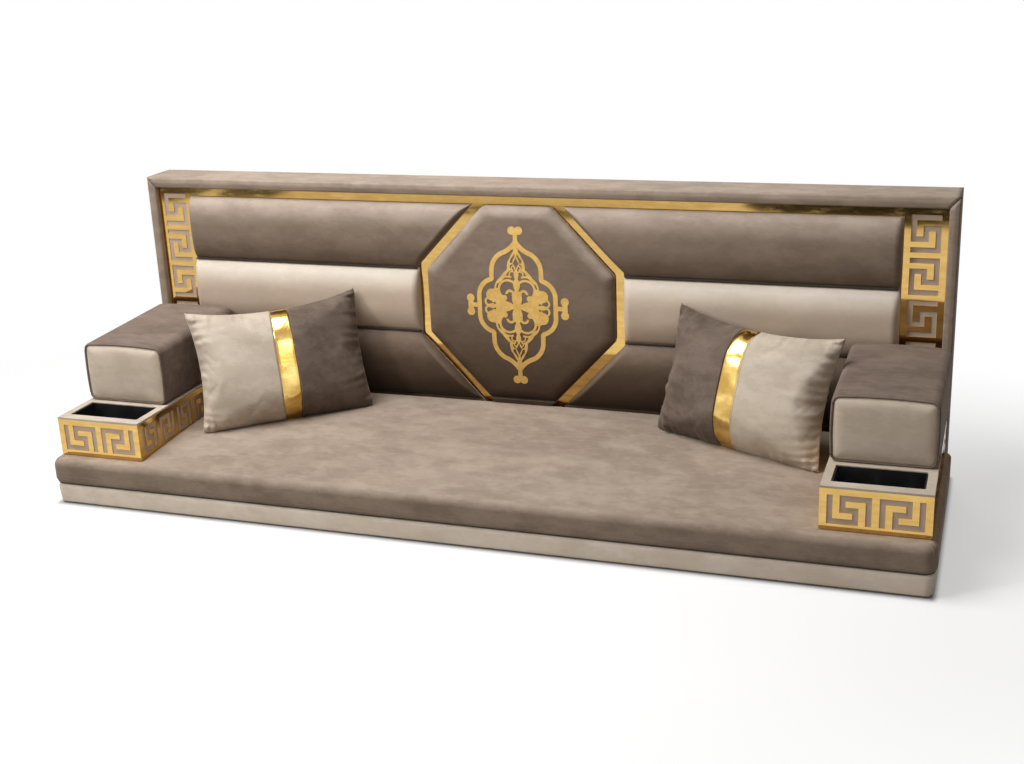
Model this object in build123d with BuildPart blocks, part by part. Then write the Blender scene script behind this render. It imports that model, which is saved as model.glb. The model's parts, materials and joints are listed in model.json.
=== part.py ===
from build123d import *
import os
from math import cos, radians, sin

os.makedirs("parts", exist_ok=True)

# Majlis floor sofa, in millimetres. X runs along the seat, Y from front to back, Z up.
# The origin is at the middle of the footprint, on the floor.

# Overall sizes
seat_width = 2226
overall_depth = 701
back_height = 757
back_depth = 127
back_side_inset = 13

# Shared gaps and the overrun of cuts
soft_gap = 0.4
fit_gap = 0.3
cut_overrun = 5

# Base platform
base_height = 58
base_front_inset = 14.5
base_side_inset = 12
base_cover_thickness = 6
base_corner_radius = 10
base_edge_radius = 3
deck_thickness = 9
base_rail_thickness = 22
cross_member_count = 5
dust_cloth_thickness = 1
glide_height = 6
glide_radius = 10

# Seat mattress
seat_edge_height = 67
seat_crown = 41
seat_corner_radius = 30
seat_top_radius = 24
seat_bottom_radius = 14
seat_cover_thickness = 4
crown_side_margin = 3

# Back frame and board
border_side_face = 25
border_top_face = 28.5
border_side_thickness = 8
border_lip_depth = 19
border_edge_radius = 5
gold_recess = 16
gold_thickness = 2
lining_thickness = 1
back_board_thickness = 9
back_rail_thickness = 25
back_post_count = 4
rear_cover_thickness = 4

# Bolts that hold the back on the platform
bolt_radius = 4
bolt_hole_radius = 4.4
bolt_head_radius = 9
bolt_head_height = 5
nut_radius = 7.5
nut_height = 6.5
bolt_end_length = 3
bolt_count = 4
bolt_side_inset = 165

# Row pads and the octagon of the back
gold_fret_width = 102
gold_strip_height = 23.5
pad_foot_gap = 10
pad_projection = 16.5
pad_seam_depth = 19
pad_top_edge_depth = 8
pad_end_radius = 15
pad_board_thickness = 6
pad_board_inset = 4
octagon_width_share = 0.4896
octagon_flat_share = 0.1758
octagon_edge_radius = 15
octagon_crown_radius = 5200
octagon_gap = 25
trim_clearance = 0.5

# Greek key: the width of its line, and its units on the back
key_line = 13
back_key_side_margin = 16
back_key_top_margin = 18
back_key_bottom_margin = 22.5
back_key_gap = 13
back_key_count = 5

# Arm boxes
arm_width = 240
arm_side_inset = 2
arm_front_inset = 38.5
arm_height = 104
arm_board_thickness = 12
arm_floor_thickness = 9
arm_rim_edge = 5
arm_plate_lift = 2
arm_key_side_margin = 16
arm_key_end_margin = 14.5
arm_key_gap = 16
arm_side_key_count = 6
arm_side_line_share = 0.193
block_width = 60
block_height = 36
block_lift = 5

# Tray opening and tray
tray_opening_width = 200
tray_opening_depth = 98
tray_front_margin = 29
tray_clearance = 1
tray_wall = 3
tray_sink = 2
tray_corner_radius = 4

# Bolsters
bolster_front_inset = 139
bolster_width = 232
bolster_height = 157
bolster_side_bulge = 3
bolster_top_bulge = 4.5
bolster_corner_radius = 25
bolster_rear_radius = 2.5
bolster_cover_thickness = 3
bolster_panel_thickness = 9
bolster_panel_radius = 5
piping_radius = 3.3

# Pillows
pillow_width = 466
pillow_height = 330
pillow_thickness = 122
pillow_side_draw = 12
pillow_band_width = 47
pillow_band_shift = 14
pillow_back_gap = 1.5
left_pillow_side_gap = 8
right_pillow_side_gap = -10
left_pillow_turn = 33
right_pillow_turn = -20
left_pillow_lean = 19
right_pillow_lean = 17
left_pillow_roll = 2.7
right_pillow_roll = -2.5
left_pillow_lift = 30.1
right_pillow_lift = 30.7

# Medallion on the octagon
medallion_width_share = 0.2117
medallion_height_share = 0.3611
medallion_band = 12.5
medallion_thickness = 0.8
finial_radius = 11
finial_neck = 12

# Levels and planes that follow from the sizes above
front_y = -overall_depth / 2
rear_y = overall_depth / 2
back_front_y = rear_y - back_depth
seat_edge_top = base_height + seat_edge_height
seat_rear_y = back_front_y - soft_gap
base_front_y = front_y + base_front_inset
base_half_width = seat_width / 2 - base_side_inset
frame_front_y = base_front_y + base_cover_thickness
frame_half_width = base_half_width - base_cover_thickness
rail_bottom = glide_height + dust_cloth_thickness
rail_top = base_height - deck_thickness
back_half_width = seat_width / 2 - back_side_inset
border_top_thickness = border_side_thickness * border_top_face / border_side_face
back_inner_half_width = back_half_width - border_side_thickness
back_inner_top = back_height - border_top_thickness
field_half_width = back_half_width - border_side_face
field_top = back_height - border_top_face
gold_front_y = back_front_y + gold_recess
lining_front_y = gold_front_y + gold_thickness
board_front_y = lining_front_y + lining_thickness
back_frame_front_y = board_front_y + back_board_thickness
back_frame_rear_y = rear_y - rear_cover_thickness
pad_front_y = back_front_y - pad_projection
pad_rear_y = lining_front_y - pad_board_thickness
pad_seam_y = pad_front_y + pad_seam_depth
pad_field_half_width = field_half_width - gold_fret_width
pad_top = field_top - gold_strip_height
pad_bottom = seat_edge_top + seat_crown + pad_foot_gap
field_height = pad_top - pad_bottom
pad_row_height = field_height / 3
pad_middle_z = (pad_top + pad_bottom) / 2
octagon_half_width = field_height * octagon_width_share
octagon_flat_half_width = field_height * octagon_flat_share
medallion_half_width = field_height * medallion_width_share
medallion_half_height = field_height * medallion_height_share
arm_outer_x = back_half_width - arm_side_inset
arm_inner_x = arm_outer_x - arm_width
arm_centre_x = (arm_outer_x + arm_inner_x) / 2
arm_front_y = front_y + arm_front_inset
arm_rear_y = pad_front_y - soft_gap
arm_top = seat_edge_top + arm_height
sides = (("left", -1), ("right", 1))


def facing(y):
    # A plane at depth y that faces the front, with its own Y along world Z
    return Plane.XZ.offset(-y)


def key_rectangles(path, columns, rows, width, height, centre, line=key_line):
    # One unit of the Greek key: a line of constant width over a grid of columns and rows
    column_step = (width - line) / (columns - 1)
    row_step = (height - line) / (rows - 1)
    spots = [((c - (columns - 1) / 2) * column_step, ((rows - 1) / 2 - r) * row_step) for c, r in path]
    for (x0, z0), (x1, z1) in zip(spots, spots[1:]):
        with Locations((centre[0] + (x0 + x1) / 2, centre[1] + (z0 + z1) / 2)):
            Rectangle(abs(x1 - x0) + line, abs(z1 - z0) + line, mode=Mode.SUBTRACT)


lying_key = [(0, 0), (0, 2), (2, 2), (2, 1), (1, 1), (1, 0), (3, 0), (3, 2)]
standing_key = [(2, 0), (0, 0), (0, 2), (1, 2), (1, 1), (2, 1), (2, 3), (0, 3)]


def mirrored_path(path, columns):
    return [(columns - 1 - c, r) for c, r in path]


# Front and rear rails of the platform
with BuildPart() as base_long_rails:
    with BuildSketch(Plane.XY.offset(rail_bottom)):
        with Locations((0, frame_front_y + base_rail_thickness / 2), (0, rear_y - base_rail_thickness / 2)):
            Rectangle(2 * frame_half_width, base_rail_thickness)
    extrude(amount=rail_top - rail_bottom)
base_long_rails.part.label = "base_long_rails"
export_step(base_long_rails.part, "parts/base_long_rails.step")

# Cross members between the two rails
cross_length = rear_y - frame_front_y - 2 * base_rail_thickness
cross_spacing = (2 * frame_half_width - base_rail_thickness) / (cross_member_count - 1)
with BuildPart() as base_cross_members:
    with BuildSketch(Plane.XY.offset(rail_bottom)):
        with Locations((0, (frame_front_y + rear_y) / 2)):
            with GridLocations(cross_spacing, 0, cross_member_count, 1):
                Rectangle(base_rail_thickness, cross_length)
    extrude(amount=rail_top - rail_bottom)
base_cross_members.part.label = "base_cross_members"
export_step(base_cross_members.part, "parts/base_cross_members.step")

# Plywood deck that carries the mattress and the back
bolt_spacing = 2 * (frame_half_width - bolt_side_inset) / (bolt_count - 1)
bolt_y = (back_frame_front_y + back_frame_rear_y) / 2
with BuildPart() as seat_deck:
    with BuildSketch(Plane.XY.offset(rail_top)):
        with Locations((0, (frame_front_y + rear_y) / 2)):
            Rectangle(2 * frame_half_width, rear_y - frame_front_y)
        with Locations((0, bolt_y)):
            with GridLocations(bolt_spacing, 0, bolt_count, 1):
                Circle(bolt_hole_radius, mode=Mode.SUBTRACT)
    extrude(amount=deck_thickness)
seat_deck.part.label = "seat_deck"
export_step(seat_deck.part, "parts/seat_deck.step")

# Padded beige cover, wrapped round the front and both ends
with BuildPart() as base_cover:
    with BuildSketch(Plane.XY.offset(glide_height)) as cover_band:
        with Locations((0, (base_front_y + rear_y) / 2)):
            Rectangle(2 * base_half_width, rear_y - base_front_y)
        fillet(cover_band.vertices().group_by(Axis.Y)[0], base_corner_radius)
        with Locations((0, (frame_front_y + rear_y + cut_overrun) / 2)):
            Rectangle(2 * frame_half_width, rear_y + cut_overrun - frame_front_y, mode=Mode.SUBTRACT)
    extrude(amount=base_height - glide_height)
    fillet(base_cover.edges().group_by(Axis.Z)[-1].sort_by(Axis.Y)[0], base_edge_radius)
base_cover.part.label = "base_cover"
export_step(base_cover.part, "parts/base_cover.step")

# Dust cloth tacked under the frame
with BuildPart() as base_dust_cloth:
    with BuildSketch(Plane.XY.offset(glide_height)):
        with Locations((0, (frame_front_y + rear_y) / 2)):
            Rectangle(2 * frame_half_width, rear_y - frame_front_y)
    extrude(amount=dust_cloth_thickness)
base_dust_cloth.part.label = "base_dust_cloth"
export_step(base_dust_cloth.part, "parts/base_dust_cloth.step")

# Floor glides under both rails, at the ends of the cross members
with BuildPart() as floor_glides:
    with BuildSketch(Plane.XY):
        with Locations((0, (frame_front_y + rear_y) / 2)):
            with GridLocations(cross_spacing, cross_length + base_rail_thickness, cross_member_count, 2):
                Circle(glide_radius)
    extrude(amount=glide_height)
floor_glides.part.label = "floor_glides"
export_step(floor_glides.part, "parts/floor_glides.step")

# Where the crown of the mattress rises: places along the half width, and the height there, as shares
crown_place_shares = [-1, -0.92, -0.8, -0.6, -0.3, 0, 0.3, 0.6, 0.8, 0.92, 1]
crown_height_shares = [0.45, 0.74, 0.87, 0.95, 0.99, 1, 0.99, 0.95, 0.87, 0.74, 0.45]
crown_middle_share = 0.78


def seat_form(inset):
    # A rounded slab, flat under the arm boxes, with a crown that rises towards the back
    half_width = seat_width / 2 - inset
    crown_half_width = arm_inner_x - crown_side_margin - inset
    bottom = base_height + inset
    edge_top = seat_edge_top - inset
    front = front_y + inset
    rear = seat_rear_y - inset
    crown_front = front + seat_top_radius
    crown_foot = edge_top - seat_edge_height / 2
    with BuildPart() as form:
        with BuildSketch(Plane.XY.offset(bottom)):
            with Locations((0, (front + rear) / 2)):
                RectangleRounded(2 * half_width, rear - front, seat_corner_radius - inset)
        extrude(amount=edge_top - bottom)
        fillet(form.faces().sort_by(Axis.Z)[-1].edges(), seat_top_radius - inset)
        fillet(form.faces().sort_by(Axis.Z)[0].edges(), seat_bottom_radius - inset)
        for place_share, height_share in zip(crown_place_shares, crown_height_shares):
            rise = seat_crown * height_share
            with BuildSketch(Plane.YZ.offset(crown_half_width * place_share)):
                with BuildLine():
                    Polyline((rear, edge_top + rise), (rear, crown_foot), (crown_front, crown_foot),
                             (crown_front, edge_top))
                    ThreePointArc((crown_front, edge_top),
                                  ((crown_front + rear) / 2, edge_top + rise * crown_middle_share),
                                  (rear, edge_top + rise))
                make_face()
        loft()
    return form.part


# Velvet cover of the mattress
with BuildPart() as seat_cover:
    add(seat_form(0))
    add(seat_form(seat_cover_thickness), mode=Mode.SUBTRACT)
seat_cover.part.label = "seat_cover"
export_step(seat_cover.part, "parts/seat_cover.step")

# Foam core of the mattress
with BuildPart() as seat_foam:
    add(seat_form(seat_cover_thickness + fit_gap))
seat_foam.part.label = "seat_foam"
export_step(seat_foam.part, "parts/seat_foam.step")

# Top and bottom rails of the back
back_rail_depth = back_frame_rear_y - back_frame_front_y
with BuildPart() as back_long_rails:
    with BuildSketch(facing(back_frame_rear_y)):
        with Locations((0, base_height + back_rail_thickness / 2), (0, back_inner_top - back_rail_thickness / 2)):
            Rectangle(2 * back_inner_half_width, back_rail_thickness)
    extrude(amount=back_rail_depth)
    with BuildSketch(Plane.XY.offset(base_height)):
        with Locations((0, bolt_y)):
            with GridLocations(bolt_spacing, 0, bolt_count, 1):
                Circle(bolt_hole_radius)
    extrude(amount=back_rail_thickness, mode=Mode.SUBTRACT)
back_long_rails.part.label = "back_long_rails"
export_step(back_long_rails.part, "parts/back_long_rails.step")

# Upright posts of the back
post_bottom = base_height + back_rail_thickness
post_top = back_inner_top - back_rail_thickness
post_spacing = (2 * back_inner_half_width - back_rail_thickness) / (back_post_count - 1)
with BuildPart() as back_posts:
    with BuildSketch(Plane.XY.offset(post_bottom)):
        with Locations((0, bolt_y)):
            with GridLocations(post_spacing, 0, back_post_count, 1):
                Rectangle(back_rail_thickness, back_rail_depth)
    extrude(amount=post_top - post_bottom)
back_posts.part.label = "back_posts"
export_step(back_posts.part, "parts/back_posts.step")

# Bolts up through the deck and the bottom rail, with their nuts
with BuildPart() as back_bolts:
    with BuildSketch(Plane.XY.offset(rail_top - bolt_head_height)):
        with Locations((0, bolt_y)):
            with GridLocations(bolt_spacing, 0, bolt_count, 1):
                RegularPolygon(bolt_head_radius, 6)
    extrude(amount=bolt_head_height)
    with BuildSketch(Plane.XY.offset(rail_top)):
        with Locations((0, bolt_y)):
            with GridLocations(bolt_spacing, 0, bolt_count, 1):
                Circle(bolt_radius)
    extrude(amount=post_bottom + nut_height + bolt_end_length - rail_top)
with BuildPart() as back_nuts:
    with BuildSketch(Plane.XY.offset(post_bottom)):
        with Locations((0, bolt_y)):
            with GridLocations(bolt_spacing, 0, bolt_count, 1):
                RegularPolygon(nut_radius, 6)
                Circle(bolt_radius, mode=Mode.SUBTRACT)
    extrude(amount=nut_height)
bolt_sets = Compound(children=[*back_bolts.part.solids(), *back_nuts.part.solids()], label="back_bolts")
export_step(bolt_sets, "parts/back_bolts.step")

# Plywood board behind the pads
with BuildPart() as back_board:
    with BuildSketch(facing(back_frame_front_y)):
        with Locations((0, (base_height + back_inner_top) / 2)):
            Rectangle(2 * back_inner_half_width, back_inner_top - base_height)
    extrude(amount=back_board_thickness)
back_board.part.label = "back_board"
export_step(back_board.part, "parts/back_board.step")

# Beige lining on the board, seen through the cut gold sheets
with BuildPart() as back_lining:
    with BuildSketch(facing(board_front_y)):
        with Locations((0, (base_height + field_top) / 2)):
            Rectangle(2 * field_half_width, field_top - base_height)
    extrude(amount=lining_thickness)
back_lining.part.label = "back_lining"
export_step(back_lining.part, "parts/back_lining.step")

# Cover over the rear of the frame
with BuildPart() as back_rear_cover:
    with BuildSketch(facing(rear_y)):
        with Locations((0, (base_height + back_inner_top) / 2)):
            Rectangle(2 * back_inner_half_width, back_inner_top - base_height)
    extrude(amount=rear_cover_thickness)
back_rear_cover.part.label = "back_rear_cover"
export_step(back_rear_cover.part, "parts/back_rear_cover.step")

# Padded border over the top of the back, mitred at both ends
with BuildPart() as border_top:
    with BuildSketch(facing(board_front_y)):
        with BuildLine():
            Polyline((-back_half_width, back_height), (back_half_width, back_height),
                     (field_half_width, field_top), (-field_half_width, field_top), close=True)
        make_face()
    extrude(amount=border_lip_depth)
    with BuildSketch(facing(rear_y)):
        with BuildLine():
            Polyline((-back_half_width, back_height), (back_half_width, back_height),
                     (back_inner_half_width, back_inner_top), (-back_inner_half_width, back_inner_top),
                     close=True)
        make_face()
    extrude(amount=rear_y - board_front_y)
    top_front_edge = border_top.edges().group_by(Axis.Z)[-1].filter_by(Axis.X).sort_by(Axis.Y)[0]
    fillet(top_front_edge, border_edge_radius)
border_top.part.label = "border_top"
export_step(border_top.part, "parts/border_top.step")

# Padded borders down both sides of the back
for side, sign in sides:
    with BuildPart() as border_side:
        with BuildSketch(facing(board_front_y)):
            with BuildLine():
                Polyline((sign * back_half_width, base_height), (sign * back_half_width, back_height),
                         (sign * field_half_width, field_top), (sign * field_half_width, base_height),
                         close=True)
            make_face()
        extrude(amount=border_lip_depth)
        with BuildSketch(facing(rear_y)):
            with BuildLine():
                Polyline((sign * back_half_width, base_height), (sign * back_half_width, back_height),
                         (sign * back_inner_half_width, back_inner_top),
                         (sign * back_inner_half_width, base_height), close=True)
            make_face()
        extrude(amount=rear_y - board_front_y)
        outer_edges = border_side.edges().filter_by(Axis.Z).group_by(Axis.Y)[0]
        fillet(outer_edges.sort_by(Axis.X)[-1 if sign > 0 else 0], border_edge_radius)
    border_side.part.label = f"border_{side}"
    export_step(border_side.part, f"parts/border_{side}.step")

# Gold sheets cut with the Greek key, alike on both sides of the back
back_key_height = (field_top - pad_bottom - back_key_top_margin - back_key_bottom_margin
                   - (back_key_count - 1) * back_key_gap) / back_key_count
back_key_width = gold_fret_width - 2 * back_key_side_margin
for side, sign in sides:
    fret_centre_x = sign * (field_half_width + pad_field_half_width) / 2
    with BuildPart() as gold_fret:
        with BuildSketch(facing(lining_front_y)):
            with Locations((fret_centre_x, (field_top + pad_bottom) / 2)):
                Rectangle(gold_fret_width, field_top - pad_bottom)
            for unit in range(back_key_count):
                path = standing_key if unit % 2 == 0 else mirrored_path(standing_key, 3)
                unit_z = (field_top - back_key_top_margin - back_key_height / 2
                          - unit * (back_key_height + back_key_gap))
                key_rectangles(path, 3, 4, back_key_width, back_key_height, (fret_centre_x, unit_z))
        extrude(amount=gold_thickness)
    gold_fret.part.label = f"gold_fret_{side}"
    export_step(gold_fret.part, f"parts/gold_fret_{side}.step")

# Gold strip under the top border
with BuildPart() as gold_top_strip:
    with BuildSketch(facing(lining_front_y)):
        with Locations((0, (field_top + pad_top + trim_clearance) / 2)):
            Rectangle(2 * pad_field_half_width - 2 * trim_clearance, field_top - pad_top - trim_clearance)
    extrude(amount=gold_thickness)
gold_top_strip.part.label = "gold_top_strip"
export_step(gold_top_strip.part, "parts/gold_top_strip.step")

# Half of the octagon's outline and the same outline moved out by the width of the gold gap
octagon_half_points = [
    (0, pad_top), (octagon_flat_half_width, pad_top), (octagon_half_width, pad_top - pad_row_height),
    (octagon_half_width, pad_bottom + pad_row_height), (octagon_flat_half_width, pad_bottom), (0, pad_bottom)]


def octagon_outline(grow, plane):
    # The octagon, grown by an even margin and cut level at its top and bottom
    with BuildSketch(plane) as outline:
        with BuildLine():
            Polyline(*octagon_half_points)
            Polyline(*[(-x, z) for x, z in octagon_half_points])
        make_face()
        if grow:
            offset(amount=grow, kind=Kind.INTERSECTION)
            with Locations((0, pad_middle_z)):
                Rectangle(2 * back_half_width, field_height, mode=Mode.INTERSECT)
    return outline.sketch


# Gold trims in the gap round the octagon
for side, sign in sides:
    with BuildPart() as octagon_trim:
        with BuildSketch(facing(lining_front_y)) as trim_outline:
            add(octagon_outline(octagon_gap - trim_clearance, Plane.XY))
            add(octagon_outline(trim_clearance, Plane.XY), mode=Mode.SUBTRACT)
            with Locations((sign * back_half_width / 2, pad_middle_z)):
                Rectangle(back_half_width, field_height, mode=Mode.INTERSECT)
        extrude(amount=gold_thickness)
    octagon_trim.part.label = f"octagon_trim_{side}"
    export_step(octagon_trim.part, f"parts/octagon_trim_{side}.step")


def row_outline(row, sign, inset, plane):
    # Front view of one row pad: a bar that stops short of the grown octagon
    bottom = pad_bottom + row * pad_row_height
    with BuildSketch(plane) as outline:
        with Locations((sign * pad_field_half_width / 2, bottom + pad_row_height / 2)):
            Rectangle(pad_field_half_width, pad_row_height - soft_gap)
        add(octagon_outline(octagon_gap, Plane.XY), mode=Mode.SUBTRACT)
        if inset:
            offset(amount=-inset, kind=Kind.INTERSECTION)
    return outline.sketch


# Row pads: a roll along the back, with the ends rounded over
row_names = ["lower", "middle", "top"]
roll_crest_shares = [0.5, 0.5, 0.62]
for row, row_name in enumerate(row_names):
    roll_bottom = pad_bottom + row * pad_row_height
    roll_top = roll_bottom + pad_row_height
    roll_top_y = pad_front_y + pad_top_edge_depth if row_name == "top" else pad_seam_y
    roll_crest_z = roll_bottom + pad_row_height * roll_crest_shares[row]
    for side, sign in sides:
        with BuildPart() as pad:
            with BuildSketch(facing(pad_rear_y)):
                add(row_outline(row, sign, 0, Plane.XY))
            extrude(amount=pad_rear_y - pad_front_y)
            front_edges = pad.edges().group_by(Axis.Y)[0]
            fillet(front_edges - front_edges.filter_by(Axis.X), pad_end_radius)
            with BuildSketch(Plane.YZ):
                with BuildLine():
                    Polyline((roll_top_y, roll_top), (pad_rear_y, roll_top), (pad_rear_y, roll_bottom),
                             (pad_seam_y, roll_bottom))
                    ThreePointArc((pad_seam_y, roll_bottom), (pad_front_y, roll_crest_z),
                                  (roll_top_y, roll_top))
                make_face()
            extrude(amount=back_half_width, both=True, mode=Mode.INTERSECT)
        pad.part.label = f"pad_{row_name}_{side}"
        export_step(pad.part, f"parts/pad_{row_name}_{side}.step")

# Octagonal centre pad, with a shallow crown and rounded edges
crown_centre = (0, pad_front_y + octagon_crown_radius, pad_middle_z)
with BuildPart() as pad_octagon:
    with BuildSketch(facing(pad_rear_y)):
        add(octagon_outline(0, Plane.XY))
    extrude(amount=pad_rear_y - pad_front_y)
    fillet(pad_octagon.edges().group_by(Axis.Y)[0], octagon_edge_radius)
    with Locations(crown_centre):
        Sphere(octagon_crown_radius, mode=Mode.INTERSECT)
pad_octagon.part.label = "pad_octagon"
export_step(pad_octagon.part, "parts/pad_octagon.step")

# Backing boards of the seven pads
with BuildPart() as pad_boards:
    with BuildSketch(facing(lining_front_y)):
        for row in range(3):
            for side, sign in sides:
                add(row_outline(row, sign, pad_board_inset, Plane.XY))
        add(octagon_outline(-pad_board_inset, Plane.XY))
    extrude(amount=pad_board_thickness)
pad_boards.part.label = "pad_boards"
export_step(pad_boards.part, "parts/pad_boards.step")

# Medallion: its outline as shares of its half sizes, for one quarter
side_lobe_shares = [(1, 0.12), (0.9, 0.31), (0.666, 0.405)]
notch_shares = [(0.666, 0.405), (0.67, 0.44), (0.666, 0.48)]
top_lobe_shares = [(0.666, 0.48), (0.585, 0.665), (0.37, 0.78)]
ogee_shares = [(0.37, 0.78), (0.13, 0.87), (0, 1)]
leaf_shares = [
    ((0, -0.03), (0, 0.43), 0.125), ((0, 0.36), (0, 0.7), 0.085), ((-0.02, 0), (0.38, 0.16), 0.014),
    ((0, 0.64), (0, 0.92), 0.06), ((0.47, 0.54), (0.17, 0.93), 0.045), ((0.2, 0.82), (0.16, 1.16), 0.04),
    ((0.17, 1.1), (-0.01, 1.4), 0.028), ((0, 0.87), (0.085, 1.05), 0.018), ((0.09, 1.03), (-0.01, 1.25), 0.018),
    ((0, 1.19), (0, 1.34), 0.03), ((0, 1.3), (0, 1.52), 0.07), ((0.52, 0.02), (0.72, 0.02), 0.04),
    ((0.07, 1.05), (0.2, 1.0), 0.02), ((0.42, 0.42), (0.64, 0.36), 0.045), ((0.1, 0.93), (0.22, 0.84), 0.025)]
curl_shares = [
    ((0.17, 0.3), 0.085, 0.06, 0, 190, 0.04), ((0.217, 0.41), 0.225, 0.058, 140, -205, 0.07),
    ((0.217, 0.41), 0.315, 0.045, 108, -135, 0.03), ((0.62, 0.265), 0.12, 0.055, 170, -300, 0.036),
    ((0.7, 0.1), 0.09, 0.05, -95, 200, 0.034), ((0.57, 0.06), 0.055, 0.035, 250, -190, 0.03),
    ((0.1, 0.78), 0.07, 0.032, -60, 240, 0.03), ((0.05, 0.93), 0.06, 0.026, 100, -150, 0.025)]


def outline_arc(shares):
    points = [(medallion_half_width * x, medallion_half_height * z) for x, z in shares]
    return ThreePointArc(*points)


def leaf(start, end, bulge):
    # A pointed leaf: two arcs between the same two points
    start, end = (Vector(*[medallion_half_width * v for v in point]) for point in (start, end))
    along = end - start
    middle = (start + end) / 2
    across = Vector(-along.Y, along.X).normalized() * bulge * medallion_half_width
    with BuildLine() as outline:
        ThreePointArc(start, middle + across, end)
        ThreePointArc(end, middle - across, start)
    make_face(outline.edges())


def curl(centre, radius, width, start_angle, sweep_angle, eye_radius):
    # A scroll: part of a ring with a round eye at its far end
    with BuildLine() as outline:
        outer = CenterArc(centre, radius + width / 2, start_angle, sweep_angle)
        inner = CenterArc(centre, radius - width / 2, start_angle, sweep_angle)
        Line(outer @ 0, inner @ 0)
        Line(outer @ 1, inner @ 1)
    make_face(outline.edges())
    with Locations(((outer @ 1) + (inner @ 1)) / 2):
        Circle(eye_radius)


with BuildSketch() as medallion_band_sketch:
    with BuildLine():
        lobe_x, lobe_z = (medallion_half_width, medallion_half_height * side_lobe_shares[0][1])
        Line((lobe_x, -lobe_z), (lobe_x, lobe_z))
        Line((-lobe_x, -lobe_z), (-lobe_x, lobe_z))
        for shares in (side_lobe_shares, notch_shares, top_lobe_shares, ogee_shares):
            for flip_x, flip_z in ((1, 1), (-1, 1), (1, -1), (-1, -1)):
                outline_arc([(flip_x * x, flip_z * z) for x, z in shares])
    make_face()
    offset(amount=-medallion_band, mode=Mode.SUBTRACT)

with BuildSketch() as finial_sketch:
    for flip in (-1, 1):
        tip_z = flip * medallion_half_height
        with Locations((0, tip_z)):
            Rectangle(finial_neck, 2 * finial_radius)
        with Locations((-0.85 * finial_radius, tip_z + flip * 1.15 * finial_radius),
                       (0.85 * finial_radius, tip_z + flip * 1.15 * finial_radius)):
            Circle(finial_radius)
        finial_x = flip * (medallion_half_width + 1.7 * finial_radius)
        with Locations((flip * (medallion_half_width + finial_radius / 2), 0)):
            Rectangle(2 * finial_radius, finial_neck)
        with Locations((finial_x, 0)):
            Rectangle(1.2 * finial_neck, 3 * finial_radius)
        with Locations((finial_x, -1.7 * finial_radius), (finial_x, 1.7 * finial_radius)):
            Circle(finial_radius)

with BuildSketch() as ornament_sketch:
    for start, end, bulge in leaf_shares:
        leaf(start, end, bulge)
    for centre, *sizes, start_angle, sweep_angle, eye in curl_shares:
        radius, width, eye_radius = (medallion_half_width * v for v in (*sizes, eye))
        curl(tuple(medallion_half_width * v for v in centre), radius, width, start_angle, sweep_angle, eye_radius)
    mirror(about=Plane.YZ)
    mirror(about=Plane.XZ)

# The foil follows the crown of the octagonal pad
medallion_plane = Plane(origin=(0, pad_rear_y, pad_middle_z), x_dir=(1, 0, 0), z_dir=(0, -1, 0))
with BuildPart() as medallion:
    with BuildSketch(medallion_plane):
        add(medallion_band_sketch.sketch)
        add(finial_sketch.sketch)
        add(ornament_sketch.sketch)
    extrude(amount=pad_rear_y - pad_front_y + medallion_thickness)
    with Locations(crown_centre):
        Sphere(octagon_crown_radius, mode=Mode.SUBTRACT)
        Sphere(octagon_crown_radius + medallion_thickness, mode=Mode.INTERSECT)
medallion.part.label = "medallion"
export_step(medallion.part, "parts/medallion.step")

# Arm boxes: boards, gold sheets and a tray on each side
board_outer_x = arm_outer_x - gold_thickness
board_inner_x = arm_inner_x + gold_thickness
board_front_face = arm_front_y + gold_thickness
rim_thickness = arm_board_thickness
wall_top = arm_top - rim_thickness
plate_bottom = seat_edge_top + arm_plate_lift
plate_top = arm_top - arm_rim_edge
plate_height = plate_top - plate_bottom
opening_front_y = arm_front_y + tray_front_margin
opening_centre_y = opening_front_y + tray_opening_depth / 2
opening_rear_y = opening_front_y + tray_opening_depth
inner_width = board_outer_x - board_inner_x - 2 * arm_board_thickness
key_height = plate_height - 2 * arm_key_end_margin
front_key_width = (arm_width - 2 * arm_key_side_margin - arm_key_gap) / 2
side_plate_length = arm_rear_y - board_front_face
side_key_width = (side_plate_length - 2 * arm_key_side_margin
                  - (arm_side_key_count - 1) * arm_key_gap) / arm_side_key_count

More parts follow.
